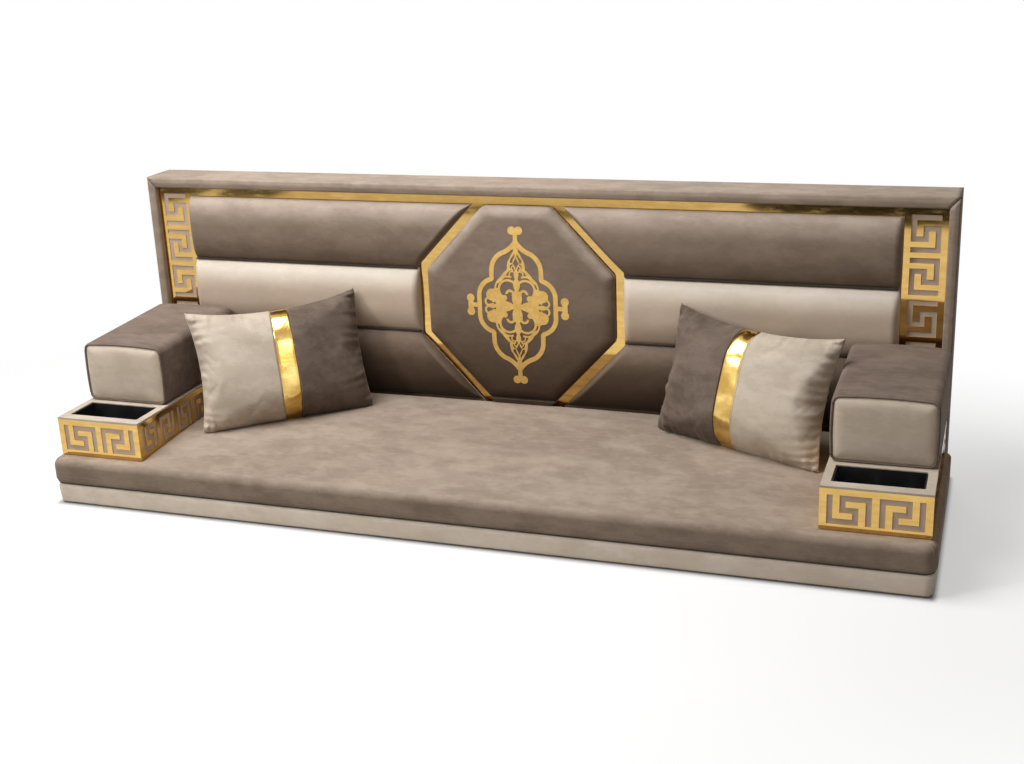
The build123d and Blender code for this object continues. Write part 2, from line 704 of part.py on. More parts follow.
for side, sign in sides:
    box_x = sign * arm_centre_x

    with BuildPart() as side_walls:
        with BuildSketch(Plane.XY.offset(seat_edge_top)):
            with Locations((box_x, (board_front_face + arm_rear_y) / 2)):
                with GridLocations(inner_width + arm_board_thickness, 0, 2, 1):
                    Rectangle(arm_board_thickness, arm_rear_y - board_front_face)
        extrude(amount=wall_top - seat_edge_top)
    side_walls.part.label = f"arm_{side}_side_walls"
    export_step(side_walls.part, f"parts/arm_{side}_side_walls.step")

    with BuildPart() as cross_walls:
        with BuildSketch(Plane.XY.offset(seat_edge_top)):
            with Locations((box_x, board_front_face + arm_board_thickness / 2),
                           (box_x, opening_rear_y + 3 * arm_board_thickness / 2),
                           (box_x, arm_rear_y - arm_board_thickness / 2)):
                Rectangle(inner_width, arm_board_thickness)
        extrude(amount=wall_top - seat_edge_top)
    cross_walls.part.label = f"arm_{side}_cross_walls"
    export_step(cross_walls.part, f"parts/arm_{side}_cross_walls.step")

    floor_front_y = board_front_face + arm_board_thickness
    floor_rear_y = opening_rear_y + arm_board_thickness
    with BuildPart() as arm_floor:
        with BuildSketch(Plane.XY.offset(seat_edge_top)):
            with Locations((box_x, (floor_front_y + floor_rear_y) / 2)):
                Rectangle(inner_width, floor_rear_y - floor_front_y)
        extrude(amount=arm_floor_thickness)
    arm_floor.part.label = f"arm_{side}_floor"
    export_step(arm_floor.part, f"parts/arm_{side}_floor.step")

    with BuildPart() as arm_rim:
        with BuildSketch(Plane.XY.offset(wall_top)):
            with Locations((box_x, (board_front_face + arm_rear_y) / 2)):
                Rectangle(arm_width - 2 * gold_thickness, arm_rear_y - board_front_face)
        extrude(amount=rim_thickness)
        with BuildSketch(Plane.XY.offset(plate_top)):
            with Locations((box_x, (arm_front_y + arm_rear_y) / 2)):
                Rectangle(arm_width, arm_rear_y - arm_front_y)
        extrude(amount=arm_rim_edge)
        with BuildSketch(Plane.XY.offset(wall_top)):
            with Locations((box_x, opening_centre_y)):
                RectangleRounded(tray_opening_width, tray_opening_depth, tray_corner_radius)
        extrude(amount=rim_thickness, mode=Mode.SUBTRACT)
    arm_rim.part.label = f"arm_{side}_rim"
    export_step(arm_rim.part, f"parts/arm_{side}_rim.step")

    with BuildPart() as fret_front:
        with BuildSketch(facing(board_front_face)):
            with Locations((box_x, (plate_bottom + plate_top) / 2)):
                Rectangle(arm_width, plate_height)
            for place, path in ((-1, lying_key), (1, mirrored_path(lying_key, 4))):
                unit_x = box_x + place * (front_key_width + arm_key_gap) / 2
                key_rectangles(path, 4, 3, front_key_width, key_height,
                               (unit_x, (plate_bottom + plate_top) / 2))
        extrude(amount=gold_thickness)
    fret_front.part.label = f"arm_{side}_fret_front"
    export_step(fret_front.part, f"parts/arm_{side}_fret_front.step")

    with BuildPart() as fret_sides:
        for face_x, face_sign in ((board_outer_x, 1), (board_inner_x, -1)):
            with BuildSketch(Plane.YZ.offset(sign * face_x)):
                with Locations(((board_front_face + arm_rear_y) / 2, (plate_bottom + plate_top) / 2)):
                    Rectangle(side_plate_length, plate_height)
                for unit in range(arm_side_key_count):
                    path = lying_key if unit % 2 == 0 else mirrored_path(lying_key, 4)
                    unit_y = (board_front_face + arm_key_side_margin + side_key_width / 2
                              + unit * (side_key_width + arm_key_gap))
                    key_rectangles(path, 4, 3, side_key_width, key_height,
                                   (unit_y, (plate_bottom + plate_top) / 2),
                                   side_key_width * arm_side_line_share)
            extrude(amount=sign * face_sign * gold_thickness)
    fret_sides.part.label = f"arm_{side}_fret_sides"
    export_step(fret_sides.part, f"parts/arm_{side}_fret_sides.step")

    tray_bottom = seat_edge_top + arm_floor_thickness
    with BuildPart() as tray:
        with BuildSketch(Plane.XY.offset(tray_bottom)):
            with Locations((box_x, opening_centre_y)):
                RectangleRounded(tray_opening_width - 2 * tray_clearance,
                                 tray_opening_depth - 2 * tray_clearance, tray_corner_radius)
        extrude(amount=arm_top - tray_sink - tray_bottom)
        tray_mouth = tray.faces().sort_by(Axis.Z)[-1]
        offset(amount=-tray_wall, openings=tray_mouth)
    tray.part.label = f"tray_{side}"
    export_step(tray.part, f"parts/tray_{side}.step")

# Timber blocks between the arm boxes and the board of the back
with BuildPart() as arm_blocks:
    with BuildSketch(Plane.XY.offset(seat_edge_top + block_lift)):
        for side, sign in sides:
            with Locations((sign * arm_centre_x, (arm_rear_y + lining_front_y) / 2)):
                Rectangle(block_width, lining_front_y - arm_rear_y)
    extrude(amount=block_height)
arm_blocks.part.label = "arm_blocks"
export_step(arm_blocks.part, "parts/arm_blocks.step")

# Bolsters
bolster_bottom = arm_top + fit_gap
bolster_front_y = arm_front_y + bolster_front_inset
bolster_rear_y = arm_rear_y
sleeve_front_y = bolster_front_y + bolster_panel_thickness


def bolster_outline(inset):
    # Front view of the bolster: flat underneath, with bulged sides and a bulged top
    half = bolster_width / 2 - inset
    top = bolster_height - inset
    with BuildSketch() as outline:
        with BuildLine():
            Line((-half, inset), (half, inset))
            ThreePointArc((half, inset), (half + bolster_side_bulge, bolster_height / 2), (half, top))
            ThreePointArc((half, top), (0, top + bolster_top_bulge), (-half, top))
            ThreePointArc((-half, top), (-half - bolster_side_bulge, bolster_height / 2), (-half, inset))
        make_face()
        fillet(outline.vertices(), bolster_corner_radius - inset)
    return outline.sketch


for side, sign in sides:

    def bolster_plane(y):
        # A plane across this bolster, with its origin at the middle of the underside
        return Plane(origin=(sign * arm_centre_x, y, bolster_bottom), x_dir=(1, 0, 0), z_dir=(0, -1, 0))

    with BuildPart() as bolster_cover:
        with BuildSketch(bolster_plane(bolster_rear_y)):
            add(bolster_outline(0))
        extrude(amount=bolster_rear_y - sleeve_front_y)
        fillet(bolster_cover.edges().group_by(Axis.Y)[-1], bolster_rear_radius)
        with BuildSketch(bolster_plane(bolster_rear_y - bolster_cover_thickness)):
            add(bolster_outline(bolster_cover_thickness))
        extrude(amount=bolster_rear_y - bolster_cover_thickness - sleeve_front_y, mode=Mode.SUBTRACT)
    bolster_cover.part.label = f"bolster_{side}_cover"
    export_step(bolster_cover.part, f"parts/bolster_{side}_cover.step")

    foam_inset = bolster_cover_thickness + fit_gap
    with BuildPart() as bolster_foam:
        with BuildSketch(bolster_plane(bolster_rear_y - foam_inset)):
            add(bolster_outline(foam_inset))
        extrude(amount=bolster_rear_y - foam_inset - sleeve_front_y)
    bolster_foam.part.label = f"bolster_{side}_foam"
    export_step(bolster_foam.part, f"parts/bolster_{side}_foam.step")

    with BuildPart() as bolster_panel:
        with BuildSketch(bolster_plane(sleeve_front_y)):
            add(bolster_outline(2 * piping_radius + fit_gap))
        extrude(amount=bolster_panel_thickness)
        fillet(bolster_panel.edges().group_by(Axis.Y)[0], bolster_panel_radius)
    bolster_panel.part.label = f"bolster_{side}_end_panel"
    export_step(bolster_panel.part, f"parts/bolster_{side}_end_panel.step")

    with BuildSketch(bolster_plane(sleeve_front_y - piping_radius)) as piping_line:
        add(bolster_outline(piping_radius))
    piping_path = piping_line.sketch.faces()[0].outer_wire()
    with BuildPart() as bolster_piping:
        with BuildSketch(Plane(origin=piping_path @ 0, z_dir=piping_path % 0)):
            Circle(piping_radius)
        sweep(path=piping_path)
    bolster_piping.part.label = f"bolster_{side}_piping"
    export_step(bolster_piping.part, f"parts/bolster_{side}_piping.step")

# Pillows: places along the half width, and the height and thickness there, as shares
pillow_place_shares = [-1, -0.95, -0.8, -0.5, 0, 0.5, 0.8, 0.95, 1]
pillow_height_shares = [1, 0.985, 0.965, 0.945, 0.935, 0.945, 0.965, 0.985, 1]
pillow_thickness_shares = [0.04, 0.2, 0.54, 0.88, 1, 0.88, 0.54, 0.2, 0.04]
pillow_settings = {
    "left": (-1, left_pillow_turn, left_pillow_lean, left_pillow_roll, left_pillow_side_gap, left_pillow_lift),
    "right": (1, right_pillow_turn, right_pillow_lean, right_pillow_roll, right_pillow_side_gap,
              right_pillow_lift)}


def pillow_plane(sign, turn, lean, roll, side_gap, lift):
    # The pillow's own plane: X along its width, Y up its height, origin at the middle of its lower edge
    along = Vector(cos(radians(turn)), sin(radians(turn)), 0)
    behind = Vector(-sin(radians(turn)), cos(radians(turn)), 0)
    upward = Vector(0, 0, 1) * cos(radians(lean)) + behind * sin(radians(lean))
    width_dir = along * cos(radians(roll)) + upward * sin(radians(roll))
    height_dir = upward * cos(radians(roll)) - along * sin(radians(roll))
    reach_x = width_dir.X * pillow_width / 2 + sign * height_dir.X * pillow_height
    reach_y = -sign * width_dir.Y * pillow_width / 2 + height_dir.Y * pillow_height
    origin = Vector(sign * (arm_inner_x - side_gap - reach_x), pad_front_y - pillow_back_gap - reach_y,
                    seat_edge_top + lift)
    return Plane(origin=origin, x_dir=width_dir, z_dir=width_dir.cross(height_dir))


def pillow_form(plane):
    # Lens sections along the width, thin at both ends, with the short sides drawn in
    middle = pillow_height / 2
    draw_radius = (middle ** 2 + pillow_side_draw ** 2) / (2 * pillow_side_draw)
    with BuildPart() as form:
        for place, height_share, thickness_share in zip(pillow_place_shares, pillow_height_shares,
                                                        pillow_thickness_shares):
            centre = plane.from_local_coords((place * pillow_width / 2, middle, 0))
            half_height = pillow_height * height_share / 2
            half_thickness = pillow_thickness * thickness_share / 2
            with BuildSketch(Plane(origin=centre, x_dir=-plane.z_dir, z_dir=plane.x_dir)):
                with BuildLine():
                    ThreePointArc((0, -half_height), (half_thickness, 0), (0, half_height))
                    ThreePointArc((0, half_height), (-half_thickness, 0), (0, -half_height))
                make_face()
        loft()
        for end in (-1, 1):
            draw_x = end * (pillow_width / 2 - pillow_side_draw + draw_radius)
            with BuildSketch(plane):
                with Locations((draw_x, middle)):
                    Circle(draw_radius)
            extrude(amount=pillow_thickness, both=True, mode=Mode.SUBTRACT)
    return form.part


for side, (sign, *settings) in pillow_settings.items():
    plane = pillow_plane(sign, *settings)
    whole_pillow = pillow_form(plane)
    taupe_side = -sign
    band_near = taupe_side * (pillow_band_shift - pillow_band_width / 2)
    band_far = taupe_side * (pillow_band_shift + pillow_band_width / 2)
    near_cut = Plane(origin=plane.from_local_coords((band_near, 0, 0)), z_dir=plane.x_dir * taupe_side)
    far_cut = Plane(origin=plane.from_local_coords((band_far, 0, 0)), z_dir=plane.x_dir * taupe_side)

    with BuildPart() as pillow_beige:
        add(whole_pillow)
        split(bisect_by=near_cut, keep=Keep.BOTTOM)
    pillow_beige.part.label = f"pillow_{side}_beige_part"
    export_step(pillow_beige.part, f"parts/pillow_{side}_beige_part.step")

    with BuildPart() as pillow_band:
        add(whole_pillow)
        split(bisect_by=near_cut, keep=Keep.TOP)
        split(bisect_by=far_cut, keep=Keep.BOTTOM)
    pillow_band.part.label = f"pillow_{side}_gold_band"
    export_step(pillow_band.part, f"parts/pillow_{side}_gold_band.step")

    with BuildPart() as pillow_taupe:
        add(whole_pillow)
        split(bisect_by=far_cut, keep=Keep.TOP)
    pillow_taupe.part.label = f"pillow_{side}_taupe_part"
    export_step(pillow_taupe.part, f"parts/pillow_{side}_taupe_part.step")
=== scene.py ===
import json
import math
import bmesh
import bpy
import numpy as np
from mathutils import Matrix, Vector


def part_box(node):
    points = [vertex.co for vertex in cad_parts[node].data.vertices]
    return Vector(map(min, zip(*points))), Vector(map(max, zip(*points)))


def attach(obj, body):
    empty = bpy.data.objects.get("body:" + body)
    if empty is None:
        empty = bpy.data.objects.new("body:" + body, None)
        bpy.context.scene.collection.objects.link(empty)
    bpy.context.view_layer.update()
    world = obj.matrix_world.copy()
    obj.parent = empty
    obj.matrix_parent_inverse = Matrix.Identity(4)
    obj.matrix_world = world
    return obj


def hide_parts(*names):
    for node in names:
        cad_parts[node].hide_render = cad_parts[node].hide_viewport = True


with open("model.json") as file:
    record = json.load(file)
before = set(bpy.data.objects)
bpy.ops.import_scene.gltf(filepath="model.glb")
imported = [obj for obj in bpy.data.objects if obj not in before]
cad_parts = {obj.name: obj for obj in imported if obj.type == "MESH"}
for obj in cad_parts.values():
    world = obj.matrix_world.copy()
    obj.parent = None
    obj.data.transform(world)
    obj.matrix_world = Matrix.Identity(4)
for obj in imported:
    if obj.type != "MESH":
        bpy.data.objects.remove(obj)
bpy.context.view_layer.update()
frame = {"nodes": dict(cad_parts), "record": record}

nodes = frame["nodes"]
bothSides = (("left", -1), ("right", 1))


def addObject(name, data):
    holder = bpy.data.objects.new(name, data)
    bpy.context.scene.collection.objects.link(holder)
    return holder


# The camera stands where the photograph was taken from
camera = {"place": (1.19938, -3.19955, 1.44701), "yaw": 0.3448, "pitch": 0.3244, "roll": -0.0429,
          "lens": 49.97, "sensor": 36.0, "sight": 60}


def placeCamera():
    yaw, pitch, roll = camera["yaw"], camera["pitch"], camera["roll"]
    forward = Vector((-math.sin(yaw) * math.cos(pitch), math.cos(yaw) * math.cos(pitch), -math.sin(pitch)))
    level = Vector((math.cos(yaw), math.sin(yaw), 0))
    above = level.cross(forward)
    right = level * math.cos(roll) + above * math.sin(roll)
    up = above * math.cos(roll) - level * math.sin(roll)
    data = bpy.data.cameras.new("photoCamera")
    data.lens, data.sensor_width, data.clip_end = camera["lens"], camera["sensor"], camera["sight"]
    holder = addObject("photoCamera", data)
    turn = Matrix((right, up, -forward)).transposed().to_4x4()
    holder.matrix_world = Matrix.Translation(camera["place"]) @ turn
    bpy.context.scene.camera = holder


placeCamera()
print("camera placed")


# Shader sums are written as plain expressions on this class
class Signal:
    def __init__(self, tree, socket):
        self.tree = tree
        self.socket = socket

    def sum(self, operation, *values):
        return addNode(self.tree, "ShaderNodeMath", {"operation": operation}, values)

    def __add__(self, other):
        return self.sum("ADD", self, other)

    def __radd__(self, other):
        return self.sum("ADD", other, self)

    def __rsub__(self, other):
        return self.sum("SUBTRACT", other, self)

    def __mul__(self, other):
        return self.sum("MULTIPLY", self, other)

    def between(self, low, high):
        # 0 below low, 1 above high, smooth in the middle
        return addNode(self.tree, "ShaderNodeMapRange", {"interpolation_type": "SMOOTHSTEP"},
                       {0: self, 1: low, 2: high, 3: 0.0, 4: 1.0})

    def tint(self, dark, light):
        # Goes from dark to light, two colours as they are read off a screen
        return mixed(self.tree, self, linear(*dark), linear(*light))


def addNode(tree, kind, settings=None, values=(), output=0):
    node = tree.nodes.new(kind)
    for key, value in (settings or {}).items():
        if key == "stops":
            while len(node.color_ramp.elements) < len(value):
                node.color_ramp.elements.new(0.5)
            for element, (spot, colour) in zip(node.color_ramp.elements, value):
                element.position = spot
                element.color = (*colour, 1)
        else:
            setattr(node, key, value)
    pairs = values.items() if isinstance(values, dict) else enumerate(values)
    for key, value in pairs:
        if isinstance(value, Signal):
            tree.links.new(value.socket, node.inputs[key])
        elif isinstance(value, tuple) and len(value) == 3 and node.inputs[key].type == "RGBA":
            node.inputs[key].default_value = (*value, 1)
        else:
            node.inputs[key].default_value = value
    return Signal(tree, node.outputs[output])


def linear(red, green, blue):
    # A colour as it is read off a screen, 0 to 255, made linear
    shares = [v / 255 for v in (red, green, blue)]
    return tuple(v / 12.92 if v <= 0.04045 else ((v + 0.055) / 1.055) ** 2.4 for v in shares)


def place(tree):
    return addNode(tree, "ShaderNodeTexCoord", output=3)


def stretched(tree, stretch, turn=(0, 0, 0)):
    return addNode(tree, "ShaderNodeMapping", values={0: place(tree), 2: turn, 3: stretch})


def clouds(tree, scale, detail, rough, stretch=None, turn=(0, 0, 0)):
    vector = stretched(tree, stretch, turn) if stretch else place(tree)
    return addNode(tree, "ShaderNodeTexNoise", {"noise_dimensions": "3D"},
                   {"Vector": vector, "Scale": scale, "Detail": detail, "Roughness": rough})


def cells(tree, scale):
    return addNode(tree, "ShaderNodeTexVoronoi", {"feature": "F1"}, {"Vector": place(tree), "Scale": scale})


def mixed(tree, share, low, high, blend="MIX"):
    return addNode(tree, "ShaderNodeMix", {"data_type": "RGBA", "blend_type": blend},
                   {0: share, 6: low, 7: high}, output=2)


def newMaterial(name, fixed=None):
    material = bpy.data.materials.new(name)
    material.use_nodes = True
    shader = material.node_tree.nodes["Principled BSDF"]
    for key, value in (fixed or {}).items():
        shader.inputs[key].default_value = value
    return material, material.node_tree


def finished(material, colour, roughness, relief, strength, distance):
    tree = material.node_tree
    shader = tree.nodes["Principled BSDF"]
    normal = addNode(tree, "ShaderNodeBump",
                     values={"Strength": strength, "Distance": distance, "Height": relief})
    for key, signal in (("Base Color", colour), ("Roughness", roughness), ("Normal", normal)):
        tree.links.new(signal.socket, shader.inputs[key])
    return material


# Velvet: brushed pile with soft lighter and darker strokes. Painted shade: the colour is made lighter or
# darker by which way the surface faces, light where it faces up a little and dark where it turns down.
# A texture is scale, detail, roughness, stretch and turn; a share is from, to and weight.
velvet = {"textures": {"strokes": (5.5, 4.0, 0.6, (1.0, 1.8, 1.8), (0.2, 0.1, 0.35)),
                       "patches": (2.6, 2.0, 0.5), "pile": (900.0, 2.0, 0.6),
                       "marks": (11.0, 7.0, 0.7, (1.0, 2.2, 2.2), (0.1, 0.0, -0.3)),
                       "crushed": (30.0, 4.0, 0.65, (1.0, 1.0, 1.6))},
          "shares": {"strokes": (0.42, 0.58, 0.34), "patches": (0.38, 0.66, 0.14),
                     "marks": (0.45, 0.56, 0.32), "crushed": (0.35, 0.7, 0.2)},
          "facingShadeTones": [(0.2, 0.38), (0.4, 0.48), (0.5, 0.55), (0.6, 0.82), (0.7, 0.98), (0.88, 0.86),
                       (1.0, 0.74)],
          "flatTones": [(0.0, 0.5), (0.5, 0.73), (0.75, 0.78), (0.9, 0.85), (0.97, 0.95), (1.0, 0.99)],
          "lowShadeTones": [(0.0, 0.2), (0.14, 0.27), (0.36, 0.5), (0.66, 0.88), (1.0, 1.0)],
          "lowFrom": 0.16, "lowTo": 0.62, "sheen": 0.3, "relief": 0.0005,
          "sheenTones": {"taupe_velvet": (214, 200, 186), "beige_velvet": (240, 232, 220)}}


def toneRamp(height, tones, shadeWarmth):
    # Painted shade: the darker a tone of the ramp, the warmer it is made
    stops = [(spot, (tone, tone ** (1 + 0.2 * shadeWarmth), tone ** (1 + 0.42 * shadeWarmth))) for spot, tone in tones]
    return addNode(height.tree, "ShaderNodeValToRGB", {"stops": stops}, [height])


def velvetMaterial(name, slotName, dark, middle, light, facingShade, lowShade=0.0, shadeWarmth=1.0, tones="facingShadeTones"):
    material, tree = newMaterial(name, {
        "Roughness": 0.85, "Sheen Weight": velvet["sheen"], "Sheen Roughness": 0.35,
        "Sheen Tint": (*linear(*velvet["sheenTones"][slotName]), 1), "Specular IOR Level": 0.15})
    made = {key: clouds(tree, *texture) for key, texture in velvet["textures"].items()}
    strokes, patches, marks, crushed = (made[key].between(low, high) * weight
                                        for key, (low, high, weight) in velvet["shares"].items())
    brushed = strokes + patches + marks + crushed
    grain = mixed(tree, made["pile"].between(0.3, 0.7) * 0.25 + 0.2, brushed.tint(dark, light),
                  linear(*middle))
    facing = addNode(tree, "ShaderNodeSeparateXYZ",
                     values=[addNode(tree, "ShaderNodeNewGeometry", output=1)], output=2)
    # Painted shade by facing: the colour is multiplied by a ramp of the surface's upward direction
    colour = mixed(tree, facingShade, grain, toneRamp(facing * 0.5 + 0.5, velvet[tones], shadeWarmth), "MULTIPLY")
    # Painted shade: the back pads are made darker towards the seat, by their height
    if lowShade:
        height = addNode(tree, "ShaderNodeSeparateXYZ", values=[place(tree)], output=2)
        share = addNode(tree, "ShaderNodeMapRange",
                        values={0: height, 1: velvet["lowFrom"], 2: velvet["lowTo"]})
        colour = mixed(tree, lowShade, colour, toneRamp(share, velvet["lowShadeTones"], shadeWarmth), "MULTIPLY")
    return finished(material, colour, 0.8 + brushed * 0.12, made["pile"] * 0.6 + made["crushed"] * 0.4,
                    0.35, velvet["relief"])


# Dark, middle and light pile, then how strongly the painted shade by facing shows. The taupe and the beige
# each come in several lighter and darker copies, one per group of pieces: painted light and shade for how the
# light falls on each.
taupe, beige = "taupe_velvet", "beige_velvet"
seatVelvet = velvetMaterial("seatVelvet", taupe, (138, 122, 108), (161, 145, 130), (185, 168, 153), 0.3)
mattressVelvet = velvetMaterial("mattressVelvet", taupe, (134, 118, 104), (156, 140, 126), (179, 163, 148),
                                1.0, shadeWarmth=0.6, tones="flatTones")
backVelvet = velvetMaterial("backVelvet", taupe, (160, 144, 130), (176, 160, 147), (196, 180, 166),
                            1.0, lowShade=1.0, shadeWarmth=0.65)
duskVelvet = velvetMaterial("duskVelvet", taupe, (98, 84, 75), (119, 104, 93), (145, 129, 118), 0.25)
pillowVelvet = velvetMaterial("pillowVelvet", taupe, (90, 77, 68), (108, 94, 84), (134, 119, 108), 0.3)
beigeVelvet = velvetMaterial("beigeVelvet", beige, (221, 210, 195), (231, 221, 207), (241, 232, 220),
                             0.6, shadeWarmth=2.4)
plinthVelvet = velvetMaterial("plinthVelvet", beige, (222, 206, 189), (242, 228, 213), (250, 241, 229), 0.22)
endVelvet = velvetMaterial("endVelvet", beige, (200, 184, 166), (216, 200, 182), (230, 216, 199), 0.25)
channelVelvet = velvetMaterial("channelVelvet", beige, (188, 166, 146), (202, 182, 162), (216, 198, 179),
                               0.25)
creamVelvet = velvetMaterial("creamVelvet", beige, (178, 163, 146), (198, 184, 167), (216, 204, 188), 0.25)


def goldSheetMaterial():
    # Gold mirror sheet: nearly clean, with a faint ripple that bends what it reflects
    material, tree = newMaterial("goldSheet", {"Metallic": 1.0})
    ripple = clouds(tree, 6.0, 2.0, 0.4)
    smears = clouds(tree, 22.0, 4.0, 0.6, (1.0, 1.0, 4.0), (0.0, 0.5, 0.0))
    tone = smears.between(0.3, 0.8).tint((210, 170, 98), (226, 189, 116))
    return finished(material, tone, 0.05 + smears.between(0.45, 0.9) * 0.08, ripple, 0.5, 0.0009)


def goldFoilMaterial():
    # Gold foil printed on velvet: the pile shows through as a fine grain
    material, tree = newMaterial("goldFoil", {"Metallic": 0.85})
    grain = clouds(tree, 700.0, 2.0, 0.6)
    tone = clouds(tree, 60.0, 4.0, 0.6).between(0.3, 0.75).tint((208, 168, 94), (224, 186, 112))
    return finished(material, tone, 0.38 + grain.between(0.3, 0.7) * 0.15, grain, 0.4, 0.0004)


def goldBandMaterial():
    # Gold vinyl of the pillow bands: smooth, with small creases
    material, tree = newMaterial("goldBand", {"Metallic": 1.0})
    creases = clouds(tree, 16.0, 3.0, 0.5, (1.0, 1.0, 1.6))
    tone = creases.between(0.35, 0.7).tint((200, 160, 84), (236, 203, 126))
    return finished(material, tone, 0.14 + creases.between(0.4, 0.8) * 0.12, creases, 0.25, 0.0014)


def trayMaterial():
    # Black moulded tray, fine leather grain
    material, tree = newMaterial("blackTray")
    dust = clouds(tree, 30.0, 4.0, 0.6)
    tone = dust.between(0.5, 0.9).tint((9, 9, 10), (21, 20, 19))
    return finished(material, tone, 0.42 + dust.between(0.4, 0.8) * 0.15, cells(tree, 900.0), 0.25, 0.0003)


def woodMaterial(name, dark, light, rings):
    material, tree = newMaterial(name)
    grain = clouds(tree, rings, 5.0, 0.6, (1.5, 22.0, 22.0))
    fibre = clouds(tree, rings, 2.0, 0.6, (6.0, 160.0, 160.0))
    return finished(material, grain.between(0.3, 0.72).tint(dark, light), 0.62 + fibre * 0.2,
                    grain * 0.5 + fibre * 0.5, 0.3, 0.0006)


def wovenMaterial(name, dark, light, threads):
    material, tree = newMaterial(name, {"Sheen Weight": 0.1})
    warp, weft = (addNode(tree, "ShaderNodeTexWave", {"wave_type": "BANDS", "bands_direction": way},
                          {"Vector": place(tree), "Scale": threads}) for way in ("X", "Z"))
    fuzz = clouds(tree, 40.0, 4.0, 0.6)
    weave = warp * 0.5 + weft * 0.5
    tone = (weave * 0.5 + fuzz * 0.5).tint(dark, light)
    return finished(material, tone, 0.82 + fuzz * 0.12, weave, 0.3, 0.0004)


def foamMaterial():
    material, tree = newMaterial("foam")
    pores = cells(tree, 420.0)
    tone = clouds(tree, 6.0, 3.0, 0.5).between(0.3, 0.7).tint((238, 226, 178), (246, 238, 204))
    return finished(material, tone, 0.85 + pores * 0.1, pores, 0.5, 0.0006)


def plasticMaterial():
    material, tree = newMaterial("glidePlastic")
    scuffs = clouds(tree, 120.0, 4.0, 0.6)
    tone = scuffs.between(0.5, 0.8).tint((30, 27, 24), (58, 52, 46))
    return finished(material, tone, 0.45 + scuffs * 0.2, scuffs, 0.2, 0.0003)


def zincMaterial():
    material, tree = newMaterial("zincSteel", {"Metallic": 1.0})
    spangle = cells(tree, 240.0)
    return finished(material, spangle.tint((176, 180, 186), (206, 208, 212)), 0.3 + spangle * 0.2,
                    spangle, 0.15, 0.0002)


goldSheet = goldSheetMaterial()
goldBand = goldBandMaterial()
darkCloth = wovenMaterial("darkCloth", (34, 31, 29), (56, 51, 47), 260.0)
# Dark brown tape, used for lines of painted shade: in the gaps between the back rows and low in the seat's
# front gap
shadeLineTape = wovenMaterial("shadeLineTape", (44, 34, 26), (64, 51, 40), 900.0)
seamThread = wovenMaterial("seamThread", (126, 111, 98), (156, 140, 126), 900.0)
zincSteel = zincMaterial()
slotFinish = {taupe: seatVelvet, beige: creamVelvet, "gold_mirror": goldSheet,
              "gold_foil": goldFoilMaterial(), "gold_fabric": goldBand, "black_tray": trayMaterial(),
              "timber": woodMaterial("timber", (176, 134, 86), (210, 172, 122), 7.0),
              "plywood": woodMaterial("plywood", (190, 152, 104), (222, 190, 144), 3.5),
              "foam": foamMaterial(), "dark_cloth": darkCloth, "dark_plastic": plasticMaterial(),
              "steel": zincSteel}


def dressNodes():
    # What shows in the cuts of the gold gets a warmer copy of the rims' beige velvet: painted warm shade in
    # the recessed cuts.
    nodeSlot = {part["node"]: part["material_slot"] for part in frame["record"]["subparts"]}
    for name, holder in nodes.items():
        holder.data.materials.clear()
        warmer = nodeSlot[name] == beige and not name.endswith("_rim")
        holder.data.materials.append(channelVelvet if warmer else slotFinish[nodeSlot[name]])


dressNodes()
print("materials ready")

merged = 1e-6  # points nearer than this are one


def newPiece(name, points, faces, finish, body="sofa", replaced=(), fill=None, smooth=True):
    # fill says how full a padded piece is; it is not used
    mesh = bpy.data.meshes.new(name)
    mesh.from_pydata([tuple(p) for p in points], [], [tuple(f) for f in faces])
    mesh.validate()
    built = bmesh.new()
    built.from_mesh(mesh)
    bmesh.ops.remove_doubles(built, verts=built.verts, dist=merged)
    bmesh.ops.recalc_face_normals(built, faces=built.faces)
    built.to_mesh(mesh)
    built.free()
    mesh.polygons.foreach_set("use_smooth", [smooth] * len(mesh.polygons))
    mesh.materials.append(finish)
    piece = addObject(name, mesh)
    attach(piece, body)
    if replaced:
        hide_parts(*replaced)


def ringFaces(rows, columns, first=0, closed=True):
    # Quads between rows of points; each row is a ring when closed
    faces = []
    for r in range(rows - 1):
        for c in range(columns if closed else columns - 1):
            a = first + r * columns + c
            b = first + r * columns + (c + 1) % columns
            faces.append((a, b, b + columns, a + columns))
    return faces


def cappedFaces(rows, columns):
    # Rings joined into a tube, with a face across each end
    count = rows * columns
    return ringFaces(rows, columns) + [tuple(range(columns)), tuple(range(count - columns, count))]


def sheetFaces(points, rows, columns):
    # Two equal grids, back to back, joined round their edge wherever they lie apart
    count = rows * columns
    last = count - columns
    rim = [*range(columns), *(r * columns + columns - 1 for r in range(1, rows)),
           *range(count - 2, last - 1, -1), *(r * columns for r in range(rows - 2, 0, -1))]
    faces = ringFaces(rows, columns, 0, False) + ringFaces(rows, columns, count, False)
    for a, b in zip(rim, rim[1:] + rim[:1]):
        if max(np.linalg.norm(points[i] - points[i + count]) for i in (a, b)) > 2 * merged:
            faces.append((a, b, b + count, a + count))
    return faces


def cornerArc(x, y, radius, quarter, steps=8):
    # A quarter of a circle round (x, y)
    angles = [math.pi / 2 * (quarter + k / steps) for k in range(steps + 1)]
    return [(x + radius * math.cos(angle), y + radius * math.sin(angle)) for angle in angles]


def quarterTurns(steps, first=0):
    # Sine and cosine from a quarter's start to its end
    angles = [math.pi / 2 * k / steps for k in range(first, steps + 1)]
    return [(math.sin(angle), math.cos(angle)) for angle in angles]


